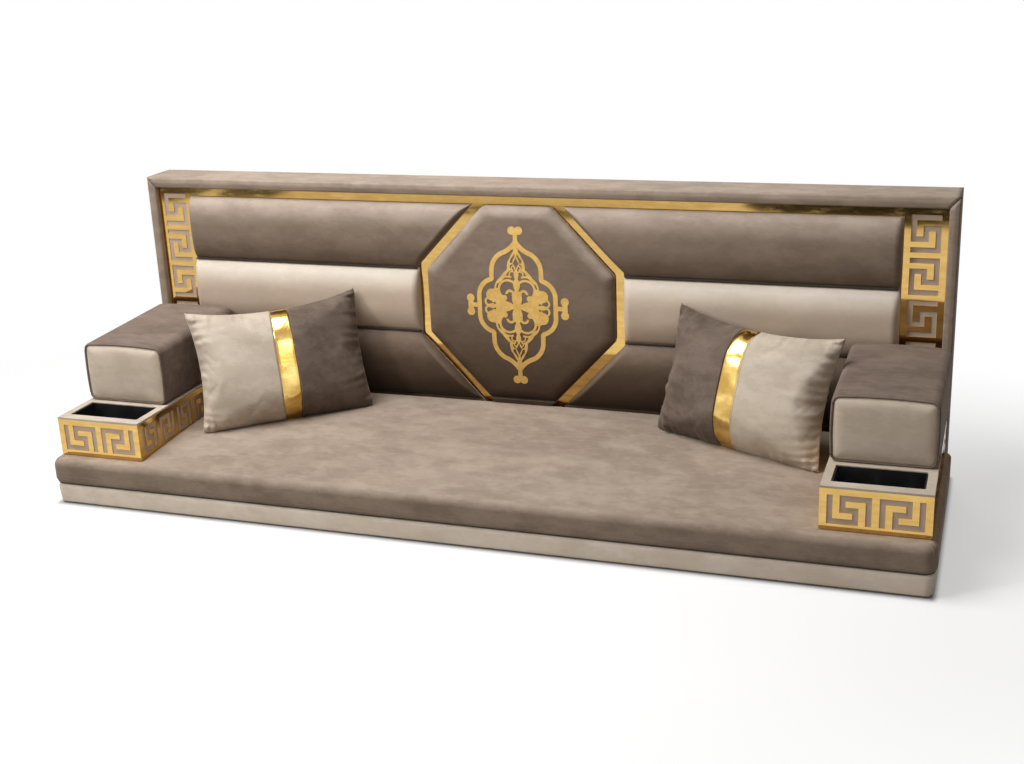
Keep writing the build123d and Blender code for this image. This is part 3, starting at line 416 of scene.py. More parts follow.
def tubeAlong(path, radius, around=6, closed=False):
    # A round cord of cloth along a path of points; it gives points and faces
    path = np.asarray(path, float)
    count = len(path)
    ahead = np.roll(path, -1, 0) - np.roll(path, 1, 0) if closed else np.gradient(path, axis=0)
    ahead /= np.linalg.norm(ahead, axis=1)[:, None]
    side = np.cross(ahead, (0.0, 0.0, 1.0))
    weak = np.linalg.norm(side, axis=1) < 0.15  # where the path is nearly upright
    side[weak] = np.cross(ahead[weak], (0.0, 1.0, 0.0))
    for i in range(1, count):
        if side[i] @ side[i - 1] < 0:
            side[i] *= -1
        side[i] = side[i] - ahead[i] * (side[i] @ ahead[i])
    side /= np.linalg.norm(side, axis=1)[:, None]
    above = np.cross(side, ahead)
    angles = [2 * math.pi * k / around for k in range(around)]
    points = [path[i] + radius * (math.cos(a) * side[i] + math.sin(a) * above[i])
              for i in range(count) for a in angles]
    if not closed:
        return points, cappedFaces(count, around)
    return points, [tuple(i % len(points) for i in face) for face in ringFaces(count + 1, around)]


def smoothNoise(seed, count=24, low=3.0, high=14.0):
    # A sum of slow sine waves in space, the same every run
    source = np.random.default_rng(seed)
    waves = source.normal(size=(count, 3))
    waves /= np.linalg.norm(waves, axis=1)[:, None]
    waves *= source.uniform(low, high, count)[:, None]
    phases = source.uniform(0, 2 * math.pi, count)
    sizes = source.uniform(0.4, 1.0, count)
    sizes /= sizes.sum()

    def at(points):
        return (np.sin(points @ waves.T + phases) * sizes).sum(-1)

    return at


# Seat mattress: a bull-nosed slab with a crown, its dark hem tape, which also serves as a painted shadow
# line, and its corner seams
mattress = {"edgeTop": 0.125, "bottom": 0.058, "front": -0.3505, "rear": 0.2231, "halfWidth": 1.113,
            "nose": 0.020, "noseDepth": 0.019, "foot": 0.012, "corner": 0.03, "rearEdge": 0.006,
            "rearReach": 0.04, "rearStop": 0.02, "armInner": 0.8545, "stepIn": 0.004, "stepOut": 0.003,
            "crown": 0.0408, "crownStart": 0.024, "fullShare": 0.28, "armGap": 0.01, "softReach": 0.05,
            "sag": 0.0016, "dent": 0.0006, "wave": 0.0012, "waveDent": 0.0008, "waveHeight": 0.03,
            "hemInset": 0.0058, "hemRise": 0.0018, "hemWidth": 0.0026, "seamWidth": 0.0011,
            "stitchRise": 0.0105, "stitchOut": 0.0002,
            "crownPlaces": [0, 0.3, 0.6, 0.8, 0.92, 0.985, 1],
            "crownShares": [1, 0.99, 0.95, 0.87, 0.74, 0.62, 0.5]}
coreX = mattress["halfWidth"] - mattress["corner"]
coreLow, coreHigh = mattress["front"] + mattress["corner"], mattress["rear"] - mattress["corner"]


def seatRise(x, y):
    # How far the crown stands above the flat shoulders
    m = mattress
    share = np.interp(np.abs(x) / m["armInner"], m["crownPlaces"], m["crownShares"])
    share = np.where(np.abs(x) > m["armInner"] + merged, 0, share)
    start = m["front"] + m["crownStart"]
    along = np.clip((y - start) / (m["rear"] - start), 0, 1)
    return m["crown"] * share * (along + 4 * m["fullShare"] * along * (1 - along))


def mattressRing(inset, xs, ys):
    # One level of the side wall: arcs round the four corners, joined by straight runs
    radius = mattress["corner"] - inset
    runs = ([(v, coreHigh + radius) for v in xs[-2:0:-1]], [(-coreX - radius, v) for v in ys[-2:0:-1]],
            [(v, coreLow - radius) for v in xs[1:-1]], [(coreX + radius, v) for v in ys[1:-1]])
    corners = ((coreX, coreHigh), (-coreX, coreHigh), (-coreX, coreLow), (coreX, coreLow))
    ring = []
    for quarter, (x, y) in enumerate(corners):
        ring += cornerArc(x, y, radius, quarter) + runs[quarter]
    return np.array(ring)


def mattressLevels():
    # Of each level: inset, height above the slab's foot, and that height at the squarer rear edge
    m = mattress
    height = m["edgeTop"] - m["bottom"]
    levels = []
    for sine, cosine in quarterTurns(6):
        levels.append((m["foot"] * (1 - sine), m["foot"] * (1 - cosine), m["foot"] * (1 - cosine)))
    for share in (0.25, 0.5, 0.75, 1):
        rise = m["foot"] + (height - m["foot"] - m["nose"]) * share
        squarer = (m["nose"] - m["rearEdge"]) * share if rise > height / 2 else 0
        levels.append((0.0, rise, rise + squarer))
    bends = [(m["noseDepth"] * (1 - cosine), sine) for sine, cosine in quarterTurns(12, 1)]
    for inset, sine in bends + [(m["corner"], 1)]:
        share = min(inset / m["rearEdge"], 1)
        square = height - m["rearEdge"] * (1 - math.sqrt(1 - (1 - share) ** 2))
        levels.append((inset, height - m["nose"] * (1 - sine), square))
    return levels


def frontRun(ring, z):
    # The points of a ring in front of its rear corners, as one open run
    spots = [(x, y, z) for x, y in ring if y < coreHigh - mattress["rearStop"]]
    start = max(range(len(spots)), key=lambda i: math.dist(spots[i], spots[i - 1]))
    return spots[start:] + spots[:start]


def buildMattress():
    m = mattress
    outer = np.linspace(m["armInner"] + m["stepOut"], coreX, 12)
    step = m["armInner"] - m["stepIn"]
    inner = np.linspace(-m["armInner"], m["armInner"], 150)
    xs = np.sort(np.concatenate([-outer, outer, [-step, step], inner]))
    ys = np.linspace(coreLow, coreHigh, 46)
    wobble, dents = smoothNoise(3, 30, 3.0, 13.0), smoothNoise(5, 34, 12.0, 34.0)
    height = m["edgeTop"] - m["bottom"]
    levels = mattressLevels()
    rings = []
    for inset, rise, square in levels:
        ring = mattressRing(inset, xs, ys)
        back = np.clip((ring[:, 1] - (coreHigh - m["rearReach"])) / m["rearReach"], 0, 1)
        rings.append(np.column_stack([ring, m["bottom"] + (rise + (square - rise) * back)]))
    gridX, gridY = np.meshgrid(xs, ys)
    top = np.column_stack([gridX.ravel(), gridY.ravel(), np.full(gridX.size, m["edgeTop"])])
    points = np.concatenate(rings + [top])
    lift = np.clip((points[:, 2] - m["bottom"] - height / 2) / (height / 2), 0, 1)
    points[:, 2] += seatRise(points[:, 0], points[:, 1]) * lift
    soft = np.clip((m["armInner"] - m["armGap"] - np.abs(points[:, 0])) / m["softReach"], 0, 1) * lift
    points[:, 2] += soft * (m["sag"] * wobble(points) + m["dent"] * dents(points))
    # The front waves a little too
    face = np.clip(1 - np.abs(points[:, 2] - (m["bottom"] + m["waveHeight"])) / m["waveHeight"], 0, 1)
    frontFace = np.clip((coreLow - points[:, 1]) / m["corner"], 0, 1)
    points[:, 1] += face * frontFace * (m["wave"] * wobble(points * 1.5) + m["waveDent"] * dents(points))
    around = len(rings[0])
    faces = ringFaces(len(levels), around) + ringFaces(len(ys), len(xs), len(levels) * around, False)
    faces.append(tuple(range(around)))
    newPiece("seatMattress", points, faces, mattressVelvet, replaced=["seat_cover"], fill=0.85)
    # Partly painted shade: the dark hem tape lies low in the gap above the plinth, where it also stands in
    # for the shadow line
    hem = frontRun(mattressRing(m["hemInset"], xs, ys), m["bottom"] + m["hemRise"])
    newPiece("seatHemShadeLine", *tubeAlong(hem, m["hemWidth"]), shadeLineTape)
    # An upright seam at each front corner
    for side, sign in bothSides:
        seam = []
        for inset, rise, square in levels[6:]:
            reach = (m["corner"] - inset) * math.sqrt(0.5)
            seam.append((sign * (coreX + reach), coreLow - reach, m["bottom"] + rise))
        newPiece(f"seatSeam_{side}", *tubeAlong(seam, m["seamWidth"]), mattressVelvet)


buildMattress()
print("mattress built")

# Row pads and the octagon of the back
backPads = {"front": 0.207, "rear": 0.2354, "seam": 0.2285, "topEdge": 0.2235, "fieldHalf": 0.973,
            "top": 0.705, "bottom": 0.176, "octHalf": 0.259, "octFlat": 0.093, "gap": 0.025,
            "endRadius": 0.02, "wall": 0.004, "puff": 0.0013, "puffDepth": 0.012, "puffLeast": 0.001,
            "halfSeam": 0.0003, "fullness": 2.7, "crests": {"lower": 0.5, "middle": 0.5, "top": 0.55},
            "groove": 0.0085, "grooveShare": 0.018, "pucker": 0.0017, "puckerReach": 0.02,
            "puckerStart": 0.002, "proud": 0.0022, "leastWall": 0.003, "cornerDraw": 0.006,
            "tuckDepth": 0.034, "tuckFace": 0.2312, "tuckIn": 0.006, "tuckUp": 0.0015, "lowerDrop": 0.009,
            "gapShadowDepth": 0.2268, "gapShadowWidth": 0.0026, "gapShadowInner": 0.003, "gapShadowOuter": 0.006}
rowHeight = (backPads["top"] - backPads["bottom"]) / 3


def octagonReach(z, grow):
    # Half width of the octagon at height z, grown by an even margin
    p = backPads
    slope = (p["octHalf"] - p["octFlat"]) / rowHeight
    low, high = (z - p["bottom"]) / rowHeight, (p["top"] - z) / rowHeight
    slant = p["octFlat"] + (p["octHalf"] - p["octFlat"]) * np.minimum(low, high) + grow * math.hypot(1, slope)
    return np.minimum(slant, p["octHalf"] + grow)


def rowFace(rowName, share):
    # Depth of the pad's face at a share of the row's height, 0 at its lower seam
    p = backPads
    crest = p["crests"][rowName]
    if share < crest:
        edge, rise = p["seam"], share / crest
    else:
        edge, rise = p["topEdge"] if rowName == "top" else p["seam"], (1 - share) / (1 - crest)
    roll = 1 - (1 - rise) ** p["fullness"]
    groove = p["groove"] * math.exp(-min(share, 1 - share) / p["grooveShare"])
    return edge + (p["front"] - edge) * roll + groove


def buildRowPad(rowName, row, side, sign):
    p = backPads
    bottom = p["bottom"] + row * rowHeight + p["halfSeam"] - (p["lowerDrop"] if rowName == "lower" else 0)
    top = p["bottom"] + (row + 1) * rowHeight - p["halfSeam"]
    shareUp = (1 - np.cos(np.linspace(0, math.pi, 47))) / 2
    even = np.linspace(0, 1, 191)
    shareX = 0.35 * (1 - np.cos(np.linspace(0, math.pi, 191))) / 2 + 0.65 * even
    rows = []
    for share in shareUp:
        z = bottom + (top - bottom) * share
        inner = octagonReach(z, p["gap"])
        outer = p["fieldHalf"] - p["cornerDraw"] * max(0.0, (abs(2 * share - 1) - 0.7) / 0.3) ** 2
        x = inner + (outer - inner) * shareX
        # The ends round over towards the sheet behind
        toEnd = np.minimum(np.minimum(x - inner, outer - x) / p["endRadius"], 1)
        drop = 1 - np.sqrt(np.maximum(0, 1 - (1 - toEnd) ** 2))
        face = rowFace(rowName, share)
        y = face + (p["rear"] - p["wall"] - face) * drop
        rows.append(np.column_stack([sign * x, y, np.full(len(x), z)]))
    points = np.concatenate(rows)
    puff = smoothNoise(20 + row * 2 + (sign > 0), 30, 5.0, 22.0)(points) * p["puff"]
    depth = np.clip((p["seam"] - points[:, 1]) / p["puffDepth"], 0, 1)
    points[:, 1] -= np.maximum(puff * depth, -p["puffLeast"])
    # Small puckers run in from the seams
    near = np.minimum(points[:, 2] - bottom, top - points[:, 2])
    creases = smoothNoise(40 + row * 2 + (sign > 0), 30, 60.0, 190.0)(points * (1, 0, 0.15))
    fade = np.exp(-near / p["puckerReach"]) * np.clip(near / p["puckerStart"], 0, 1)
    points[:, 1] += p["pucker"] * creases * fade
    points[:, 1] = np.clip(points[:, 1], p["front"] - p["proud"], p["rear"] - p["leastWall"])
    if rowName == "lower":
        # The cover goes on down and tucks in behind the mattress
        for drop in (0.001, p["tuckDepth"] * 0.4, p["tuckDepth"]):
            tuck = rows[0].copy()
            tuck[:, 1:] = p["tuckFace"], bottom - drop
            points = np.concatenate([tuck, points])
    both = np.concatenate([points, points * (1, 0, 1) + (0, p["rear"], 0)])
    faces = sheetFaces(both, len(points) // len(shareX), len(shareX))
    finish = beigeVelvet if rowName == "middle" else backVelvet
    newPiece(f"backPad_{rowName}_{side}", both, faces, finish, replaced=[f"pad_{rowName}_{side}"], fill=0.85)


def buildRowGapShadows(side, sign):
    # A dark tube lies in the gap between two rows: painted shadow for the shade in that groove
    p = backPads
    points, faces = [], []
    for row in (1, 2):
        z = p["bottom"] + row * rowHeight
        xs = np.linspace(octagonReach(z, p["gap"]) + p["gapShadowInner"], p["fieldHalf"] - p["gapShadowOuter"], 60)
        more, moreFaces = tubeAlong([(sign * x, p["gapShadowDepth"], z) for x in xs], p["gapShadowWidth"])
        faces += [tuple(i + len(points) for i in face) for face in moreFaces]
        points += more
    newPiece(f"backRowGapShadow_{side}", points, faces, shadeLineTape)


for row, rowName in enumerate(("lower", "middle", "top")):
    for side, sign in bothSides:
        buildRowPad(rowName, row, side, sign)
for side, sign in bothSides:
    buildRowGapShadows(side, sign)

octagon = {"edgeRoll": 0.032, "crownRadius": 5.2, "rimReach": 0.045, "rimStart": 0.004, "rimWave": 0.0012,
           "rimCrease": 0.0009, "perSide": 26, "seamSlack": 0.002, "tuckNarrower": 0.045,
           "trimDepth": 0.030, "trimUp": 0.0004, "trimMargin": 0.0005, "trimThick": 0.0018}


def octagonOutline():
    # Points round the pad about its middle, and the direction and the reach of each side
    p = backPads
    right = [(p["octFlat"], p["top"]), (p["octHalf"], p["top"] - rowHeight),
             (p["octHalf"], p["bottom"] + rowHeight), (p["octFlat"], p["bottom"])]
    corners = np.array(right + [(-x, z) for x, z in reversed(right)]) - (0, (p["top"] + p["bottom"]) / 2)
    outline, normals, reaches = [], [], []
    for a, b in zip(corners, np.roll(corners, -1, 0)):
        along = (b - a) / np.linalg.norm(b - a)
        normal = np.array((along[1], -along[0])) * np.sign(along[1] * a[0] - along[0] * a[1])
        normals.append(normal)
        reaches.append(normal @ a)
        outline += [a + (b - a) * k / octagon["perSide"] for k in range(octagon["perSide"])]
    outline = np.array(outline)
    # The corners are sewn a little round
    for _ in range(3):
        outline = outline * 0.5 + (np.roll(outline, 1, 0) + np.roll(outline, -1, 0)) * 0.25
    return outline, np.array(normals), np.array(reaches)


def buildOctagonPad():
    p, o = backPads, octagon
    outline, normals, reaches = octagonOutline()
    wobble, creases = smoothNoise(33, 26, 5.0, 20.0), smoothNoise(35, 30, 50.0, 160.0)
    rolled = 1 - 0.16 * (1 - np.sin(np.linspace(0, math.pi / 2, 17)[::-1]))
    rings = [np.column_stack([outline[:, 0], np.full(len(outline), p["rear"]), outline[:, 1]])]
    for share in np.concatenate([rolled, np.linspace(0.84, 0, 30)[1:]]):
        flat = outline * share
        # How far each point is from the sewn edge
        toEdge = np.clip((reaches - flat @ normals.T).min(1), 0, None)
        sphere = o["crownRadius"] - np.sqrt(o["crownRadius"] ** 2 - np.linalg.norm(flat, axis=1) ** 2)
        over = np.clip(1 - toEdge / o["edgeRoll"], 0, 1)
        roll = 1 - np.sqrt(np.clip(1 - over ** 2, 0, 1))
        deep = p["rear"] - p["wall"] - p["front"] - sphere
        spots = np.column_stack([flat[:, 0], p["front"] + sphere + deep * roll, flat[:, 1]])
        rim = np.clip(1 - toEdge / o["rimReach"], 0, 1) * np.clip(toEdge / o["rimStart"], 0, 1)
        spots[:, 1] += rim * (wobble(spots) * o["rimWave"] + creases(spots) * o["rimCrease"])
        rings.append(spots)
    points = np.concatenate(rings)
    points[:, 2] += (p["top"] + p["bottom"]) / 2
    faces = ringFaces(len(rings), len(outline)) + [tuple(range(len(outline)))]
    newPiece("backPad_octagon", points, faces, backVelvet, replaced=["pad_octagon"], fill=0.9)


def buildTucks():
    # The octagon's cover tucks in behind the mattress, and its gold trims go on down to the seat
    p, o = backPads, octagon
    bottom, half = p["bottom"], p["octFlat"] - o["seamSlack"]
    block = [(0, 1, 3, 2), (4, 6, 7, 5), (0, 4, 5, 1), (2, 3, 7, 6), (0, 2, 6, 4), (1, 5, 7, 3)]
    tuck = []
    for z, reach in ((bottom - p["tuckDepth"], half - o["tuckNarrower"]), (bottom + p["tuckUp"], half)):
        tuck += [(s * reach, y, z) for s in (-1, 1) for y in (p["front"] + p["tuckIn"], p["rear"])]
    newPiece("backPad_octagonTuck", tuck, block, backVelvet, smooth=False)
    for side, sign in bothSides:
        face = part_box(f"octagon_trim_{side}")[0][1]
        foot = []
        for z in (bottom - o["trimDepth"], bottom + o["trimUp"]):
            for x in (octagonReach(z, o["trimMargin"]), octagonReach(z, p["gap"] - o["trimMargin"])):
                foot += [(sign * x, face, z), (sign * x, face + o["trimThick"], z)]
        newPiece(f"trimFoot_{side}", foot, block, goldSheet, smooth=False)


buildOctagonPad()
buildTucks()
print("back pads built")

# Border of the back: padded strips, sewn at the mitres
border = {"half": 1.1, "top": 0.757, "floor": 0.058, "front": 0.2235, "rear": 0.3505, "face": 0.025,
          "topFace": 0.0285, "wrap": 0.008, "board": 0.2425, "round": 0.006, "puff": 0.0012,
          "outerPuff": 0.0008, "rearRound": 0.003, "rearIn": 0.002, "mitreGap": 0.0002}


def borderSection(faceWidth, thick):
    # Section from the inner lip round the front and along to the rear, as (across, depth) pairs
    b = border
    r, front = b["round"], b["front"]
    section = [(faceWidth, b["board"])]
    section += [(faceWidth - r * (1 - cosine), front + r * (1 - sine)) for sine, cosine in quarterTurns(6)]
    section += [(faceWidth - r - (faceWidth - 2 * r) * k / 6, front - b["puff"] * math.sin(math.pi * k / 6))
                for k in range(1, 6)]
    section += [(r * (1 - sine), front + r * (1 - cosine)) for sine, cosine in quarterTurns(6)]
    section += [(-b["outerPuff"] * math.sin(math.pi * k / 20),
                 front + r + (b["rear"] - b["rearRound"] - front - r) * k / 20) for k in range(1, 21)]
    return section + [(b["rearIn"], b["rear"]), (thick, b["rear"]), (thick, b["board"])]


def buildBorder(where, spot, steps, section):
    # spot turns a share along the strip and a point of its section into a place
    points = [spot(k / steps, across, depth) for k in range(steps + 1) for across, depth in section]
    newPiece(f"borderPad_{where}", points, cappedFaces(steps + 1, len(section)), seatVelvet,
             replaced=[f"border_{where}"], fill=0.95)


def buildBorders():
    b = border
    ratio = b["topFace"] / b["face"]

    def above(share, across, depth):
        # Across 0 is the outer top, and the ends follow the mitre
        reach = b["half"] - max(across, 0) / ratio
        return ((share * 2 - 1) * reach, depth, b["top"] - across)

    buildBorder("top", above, 160, borderSection(b["topFace"], b["wrap"] * ratio))
    for side, sign in bothSides:
        def beside(share, across, depth):
            top = b["top"] - max(across, 0) * ratio - b["mitreGap"]
            return (sign * (b["half"] - across), depth, b["floor"] + (top - b["floor"]) * share)

        buildBorder(side, beside, 60, borderSection(b["face"], b["wrap"]))


buildBorders()
print("borders built")

# Beige cover of the platform
plinth = {"half": 1.101, "front": -0.336, "rear": 0.3505, "bottom": 0.006, "top": 0.058, "thick": 0.0062,
          "corner": 0.014, "edge": 0.014, "swell": 0.009, "drop": 0.003, "lipRise": 0.0035, "footRise": 0.004,
          "turnIn": 0.0004, "topIn": 0.0008, "slack": 0.0011, "rearReach": 0.05}


def plinthOutline():
    # From the rear of the right end round the front, and which way is inwards
    q = plinth
    sideX, frontY = q["half"] - q["corner"], q["front"] + q["corner"]
    end = [(q["half"], y) for y in np.linspace(q["rear"], frontY, 30, endpoint=False)]
    end += [(q["half"] - q["corner"] * (1 - cosine), q["front"] + q["corner"] * (1 - sine))
            for sine, cosine in quarterTurns(8)]
    across = [(sideX - 2 * sideX * k / 150, q["front"]) for k in range(1, 150)]
    outer = np.array(end + across + [(-x, y) for x, y in reversed(end)])
    ahead = np.gradient(outer, axis=0)
    ahead /= np.linalg.norm(ahead, axis=1)[:, None]
    inward = np.column_stack([ahead[:, 1], -ahead[:, 0]])
    inward[((np.array((0.0, 0.2)) - outer) * inward).sum(1) < 0] *= -1
    return outer, inward


def plinthSection():
    # Inset and height above the plinth's foot, from the turned-in foot up to the lip
    q = plinth
    height, foot, swell, edge = q["top"] - q["bottom"], q["footRise"], q["swell"], q["edge"]
    section = [(q["thick"] - q["turnIn"], 0.0), (0.0, -q["drop"] * 0.6)]
    section += [(-swell * 0.7 * sine, foot - (foot + q["drop"]) * cosine) for sine, cosine in quarterTurns(4)]
    section += [(-swell * (0.7 + 0.3 * math.sin(math.pi * k / 18)), foot + (height - foot - edge) * k / 9)
                for k in range(1, 9)]
    section += [(-swell + (edge + swell * 0.2) * (1 - cosine),
                 height - edge * (1 - sine) + q["lipRise"] * 2 * sine * cosine * 0.8)
                for sine, cosine in quarterTurns(8)]
    return section + [(q["thick"] - q["turnIn"], height - q["topIn"])]


def buildPlinth():
    q = plinth
    height = q["top"] - q["bottom"]
    section = plinthSection()
    outer, inward = plinthOutline()
    slack = smoothNoise(90, 24, 8.0, 30.0)
    points = []
    for (x, y), (nx, ny) in zip(outer, inward):
        keep = min(1.0, (q["rear"] - y) / q["rearReach"])
        for inset, rise in section:
            upright = math.sin(math.pi * min(max(rise / height, 0), 1))
            loose = q["slack"] * float(slack(np.array((x, y, rise)))) * upright
            push = (inset if inset > 0 else inset * keep) + loose * keep
            points.append((x + nx * push, y + ny * push, q["bottom"] + rise))
    newPiece("plinthCover", points, cappedFaces(len(outer), len(section)), plinthVelvet,
             replaced=["base_cover"], fill=0.95)


buildPlinth()
print("plinth built")

# Bolsters: a taupe sleeve with a welt round the beige end
bolster = {"halfWidth": 0.116, "height": 0.157, "sideBulge": 0.003, "topBulge": 0.0045, "radius": 0.017,
           "leastRadius": 0.003, "front": -0.173, "rear": 0.2062, "floor": 0.2293, "centre": 0.978,
           "welt": 0.0033, "panel": 0.0095, "slack": 0.0016, "slackStart": 0.02, "slackMost": 0.001,
           "rearRise": 0.009, "rearSpread": 0.007, "rearRound": 0.010, "mouth": 0.008, "around": 160,
           "middle": 0.0785, "capMiddle": 0.078, "weltLap": 0.001, "endInset": 0.006, "endDent": 0.0014,
           "dentStart": 0.003, "dentDepth": 0.004, "behind": 0.0005}


def bolsterRing(inset, depth):
    # Points round the bolster's outline, from the right end of its underside
    s = bolster
    half, height = s["halfWidth"] - inset, s["height"] - 2 * inset
    r = max(s["radius"] - inset, s["leastRadius"])
    flat = []
    corners = ((half - r, r, 3), (half - r, height - r, 0), (-half + r, height - r, 1), (-half + r, r, 2))
    for x, z, quarter in corners:
        flat += cornerArc(x, z, r, quarter)
    flat = np.array(flat + flat[:1])
    lengths = np.concatenate([[0], np.cumsum(np.hypot(*np.diff(flat, axis=0).T))])
    spots = np.linspace(0, lengths[-1], s["around"], endpoint=False)
    x, z = (np.interp(spots, lengths, flat[:, axis]) for axis in (0, 1))
    up = np.clip(z / height, 0, 1)
    over = np.clip(1 - (x / half) ** 2, 0, 1)
    x = x * (1 + s["sideBulge"] / half * 4 * up * (1 - up))
    z = z + s["topBulge"] * over * up ** 3
    return np.column_stack([x, np.full(len(x), depth), z + inset])


def closedIn(ring, middle, shares):
    # The ring drawn in towards the middle of a flat end
    centre = np.array((0.0, ring[0, 1], middle))
    return [centre + (ring - centre) * share for share in shares]


def buildSleeve(side, sign, sleeveFront):
    s = bolster
    outline = bolsterRing(0, sleeveFront)
    rings = closedIn(outline, s["capMiddle"], [0.5]) + [bolsterRing(s["mouth"], sleeveFront)]
    rings += [outline * (1, 0, 1) + (0, depth, 0)
              for depth in np.linspace(sleeveFront, s["rear"] - s["rearRound"], 70)]
    rings += [bolsterRing(s["rearRound"] * (1 - cosine), s["rear"] - s["rearRound"] * (1 - sine))
              for sine, cosine in quarterTurns(6, 1)]
    rings += closedIn(rings[-1], s["capMiddle"], (0.75, 0.5, 0.25, 0.02))
    points = np.concatenate(rings)
    swell = smoothNoise(60 + (sign > 0), 26, 5.0, 26.0)(points) * s["slack"]
    swell *= np.clip(points[:, 2] / s["slackStart"], 0, 1) * (np.arange(len(points)) >= 2 * s["around"])
    away = points[:, [0, 2]] - np.array((0.0, s["middle"]))
    away /= np.maximum(np.linalg.norm(away, axis=1), 1e-4)[:, None]
    points[:, 0] += away[:, 0] * swell
    points[:, 2] += np.minimum(away[:, 1] * swell, s["slackMost"])
    along = np.clip((points[:, 1] - s["front"]) / (s["rear"] - s["front"]), 0, 1)
    points[:, 2] += s["rearRise"] * along * np.clip(points[:, 2] / s["height"], 0, 1)
    points[:, 0] += sign * s["rearSpread"] * along * np.clip(sign * points[:, 0] / s["halfWidth"], 0, 1) ** 2
    newPiece(f"bolsterSleeve_{side}", points + (sign * s["centre"], 0, s["floor"]),
             cappedFaces(len(rings), s["around"]), duskVelvet, f"bolster_{side}",
             [f"bolster_{side}_cover"], 0.9)


def buildEnd(side, sign, sleeveFront):
    # The beige end, pulled in at the welt and plump in the middle
    s = bolster
    start = 2 * s["welt"] - s["weltLap"]
    most = s["height"] / 2 - s["endInset"]
    rings = []
    for share in np.linspace(0, 1, 22) ** 1.6:
        plump = 1 - (1 - share) ** 7
        depth = sleeveFront - s["weltLap"] - (s["panel"] - s["weltLap"]) * plump
        rings.append(bolsterRing(min(start + (most - start) * share, most), depth))
    rings += closedIn(rings[-1], s["middle"], (0.7, 0.4, 0.02))
    rings.insert(0, rings[0] * (1, 0, 1) + (0, sleeveFront + s["behind"], 0))
    points = np.concatenate(rings)
    dents = smoothNoise(80 + (sign > 0), 20, 14.0, 40.0)
    inFront = np.clip((sleeveFront - s["dentStart"] - points[:, 1]) / s["dentDepth"], 0, 1)
    points[:, 1] += np.abs(dents(points)) * s["endDent"] * inFront
    newPiece(f"bolsterEnd_{side}", points + (sign * s["centre"], 0, s["floor"]),
             cappedFaces(len(rings), s["around"]), endVelvet, f"bolster_{side}",
             [f"bolster_{side}_end_panel"], 0.8)


for side, sign in bothSides:
    sleeveFront = bolster["front"] + bolster["panel"]
    buildSleeve(side, sign, sleeveFront)
    welt = bolsterRing(bolster["welt"], sleeveFront - bolster["welt"] * 0.6)
    welt += (sign * bolster["centre"], 0, bolster["floor"])
    newPiece(f"bolsterWelt_{side}", *tubeAlong(welt, bolster["welt"], 10, True), duskVelvet,
             f"bolster_{side}", [f"bolster_{side}_piping"])
    buildEnd(side, sign, sleeveFront)
print("bolsters built")

# Stitches and staples: one Geometry Nodes tree lays them along a path
rowOf = {"stitch": {"Pitch": 0.0062, "Length": 0.0042, "Thickness": 0.00045, "Turn": 0.06, "Seed": 11},
         "staple": {"Pitch": 0.052, "Length": 0.011, "Thickness": 0.0006, "Turn": 0.06, "Seed": 11},
         "sheetIn": 0.022, "coverIn": 0.012, "under": 0.0004, "behind": 0.0002}


def rowTree(finish):
    tree = bpy.data.node_groups.new("rowAlongPath", "GeometryNodeTree")
    face = tree.interface
    face.new_socket(name="Geometry", in_out="INPUT", socket_type="NodeSocketGeometry")
    for label in ("Pitch", "Length", "Thickness", "Turn"):
        face.new_socket(name=label, in_out="INPUT", socket_type="NodeSocketFloat")
    face.new_socket(name="Seed", in_out="INPUT", socket_type="NodeSocketInt")
    face.new_socket(name="Geometry", in_out="OUTPUT", socket_type="NodeSocketGeometry")
    asked = tree.nodes.new("NodeGroupInput")
    given = tree.nodes.new("NodeGroupOutput")
    path, pitch, length, thick, turn, seed = [Signal(tree, asked.outputs[k]) for k in range(6)]
    curve = addNode(tree, "GeometryNodeMeshToCurve", values=[path])
    points = addNode(tree, "GeometryNodeCurveToPoints", {"mode": "LENGTH"}, {"Curve": curve, "Length": pitch})
    tangent = Signal(tree, points.socket.node.outputs["Tangent"])
    aimed = addNode(tree, "FunctionNodeAlignRotationToVector", {"axis": "Z"}, {"Vector": tangent})
    low, high = (addNode(tree, "ShaderNodeCombineXYZ", values=[limit] * 3) for limit in (0 - turn, turn))
    chance = addNode(tree, "FunctionNodeRandomValue", {"data_type": "FLOAT_VECTOR"},
                     {0: low, 1: high, "Seed": seed})
    slant = addNode(tree, "FunctionNodeEulerToRotation", values=[chance])
    turned = addNode(tree, "FunctionNodeRotateRotation", {"rotation_space": "LOCAL"}, [aimed, slant])
    rod = addNode(tree, "GeometryNodeMeshCylinder", values={"Vertices": 6, "Radius": thick, "Depth": length})
    placed = addNode(tree, "GeometryNodeInstanceOnPoints",
                     values={"Points": points, "Instance": rod, "Rotation": turned})
    real = addNode(tree, "GeometryNodeRealizeInstances", values=[placed])
    coloured = addNode(tree, "GeometryNodeSetMaterial", values={"Geometry": real, "Material": finish})
    tree.links.new(coloured.socket, given.inputs[0])
    return tree


def rowAlong(name, paths, kind, finish, body="sofa"):
    # One mesh of all the stitches or staples of a body
    points, edges = [], []
    for path in paths:
        edges += [(len(points) + k, len(points) + k + 1) for k in range(len(path) - 1)]
        points += [tuple(p) for p in path]
    mesh = bpy.data.meshes.new(name + "Path")
    mesh.from_pydata(points, edges, [])
    holder = addObject(name + "Path", mesh)
    modifier = holder.modifiers.new("rows", "NODES")
    modifier.node_group = rowTree(finish)
    for item in modifier.node_group.interface.items_tree:
        if item.in_out == "INPUT" and item.name in rowOf[kind]:
            modifier[item.identifier] = rowOf[kind][item.name]
    made = bpy.data.meshes.new_from_object(holder.evaluated_get(bpy.context.evaluated_depsgraph_get()))
    made.name = name
    holder.modifiers.remove(modifier)
    bpy.data.objects.remove(holder)
    piece = addObject(name, made)
    print(name, len(made.polygons), "faces")
    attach(piece, body)


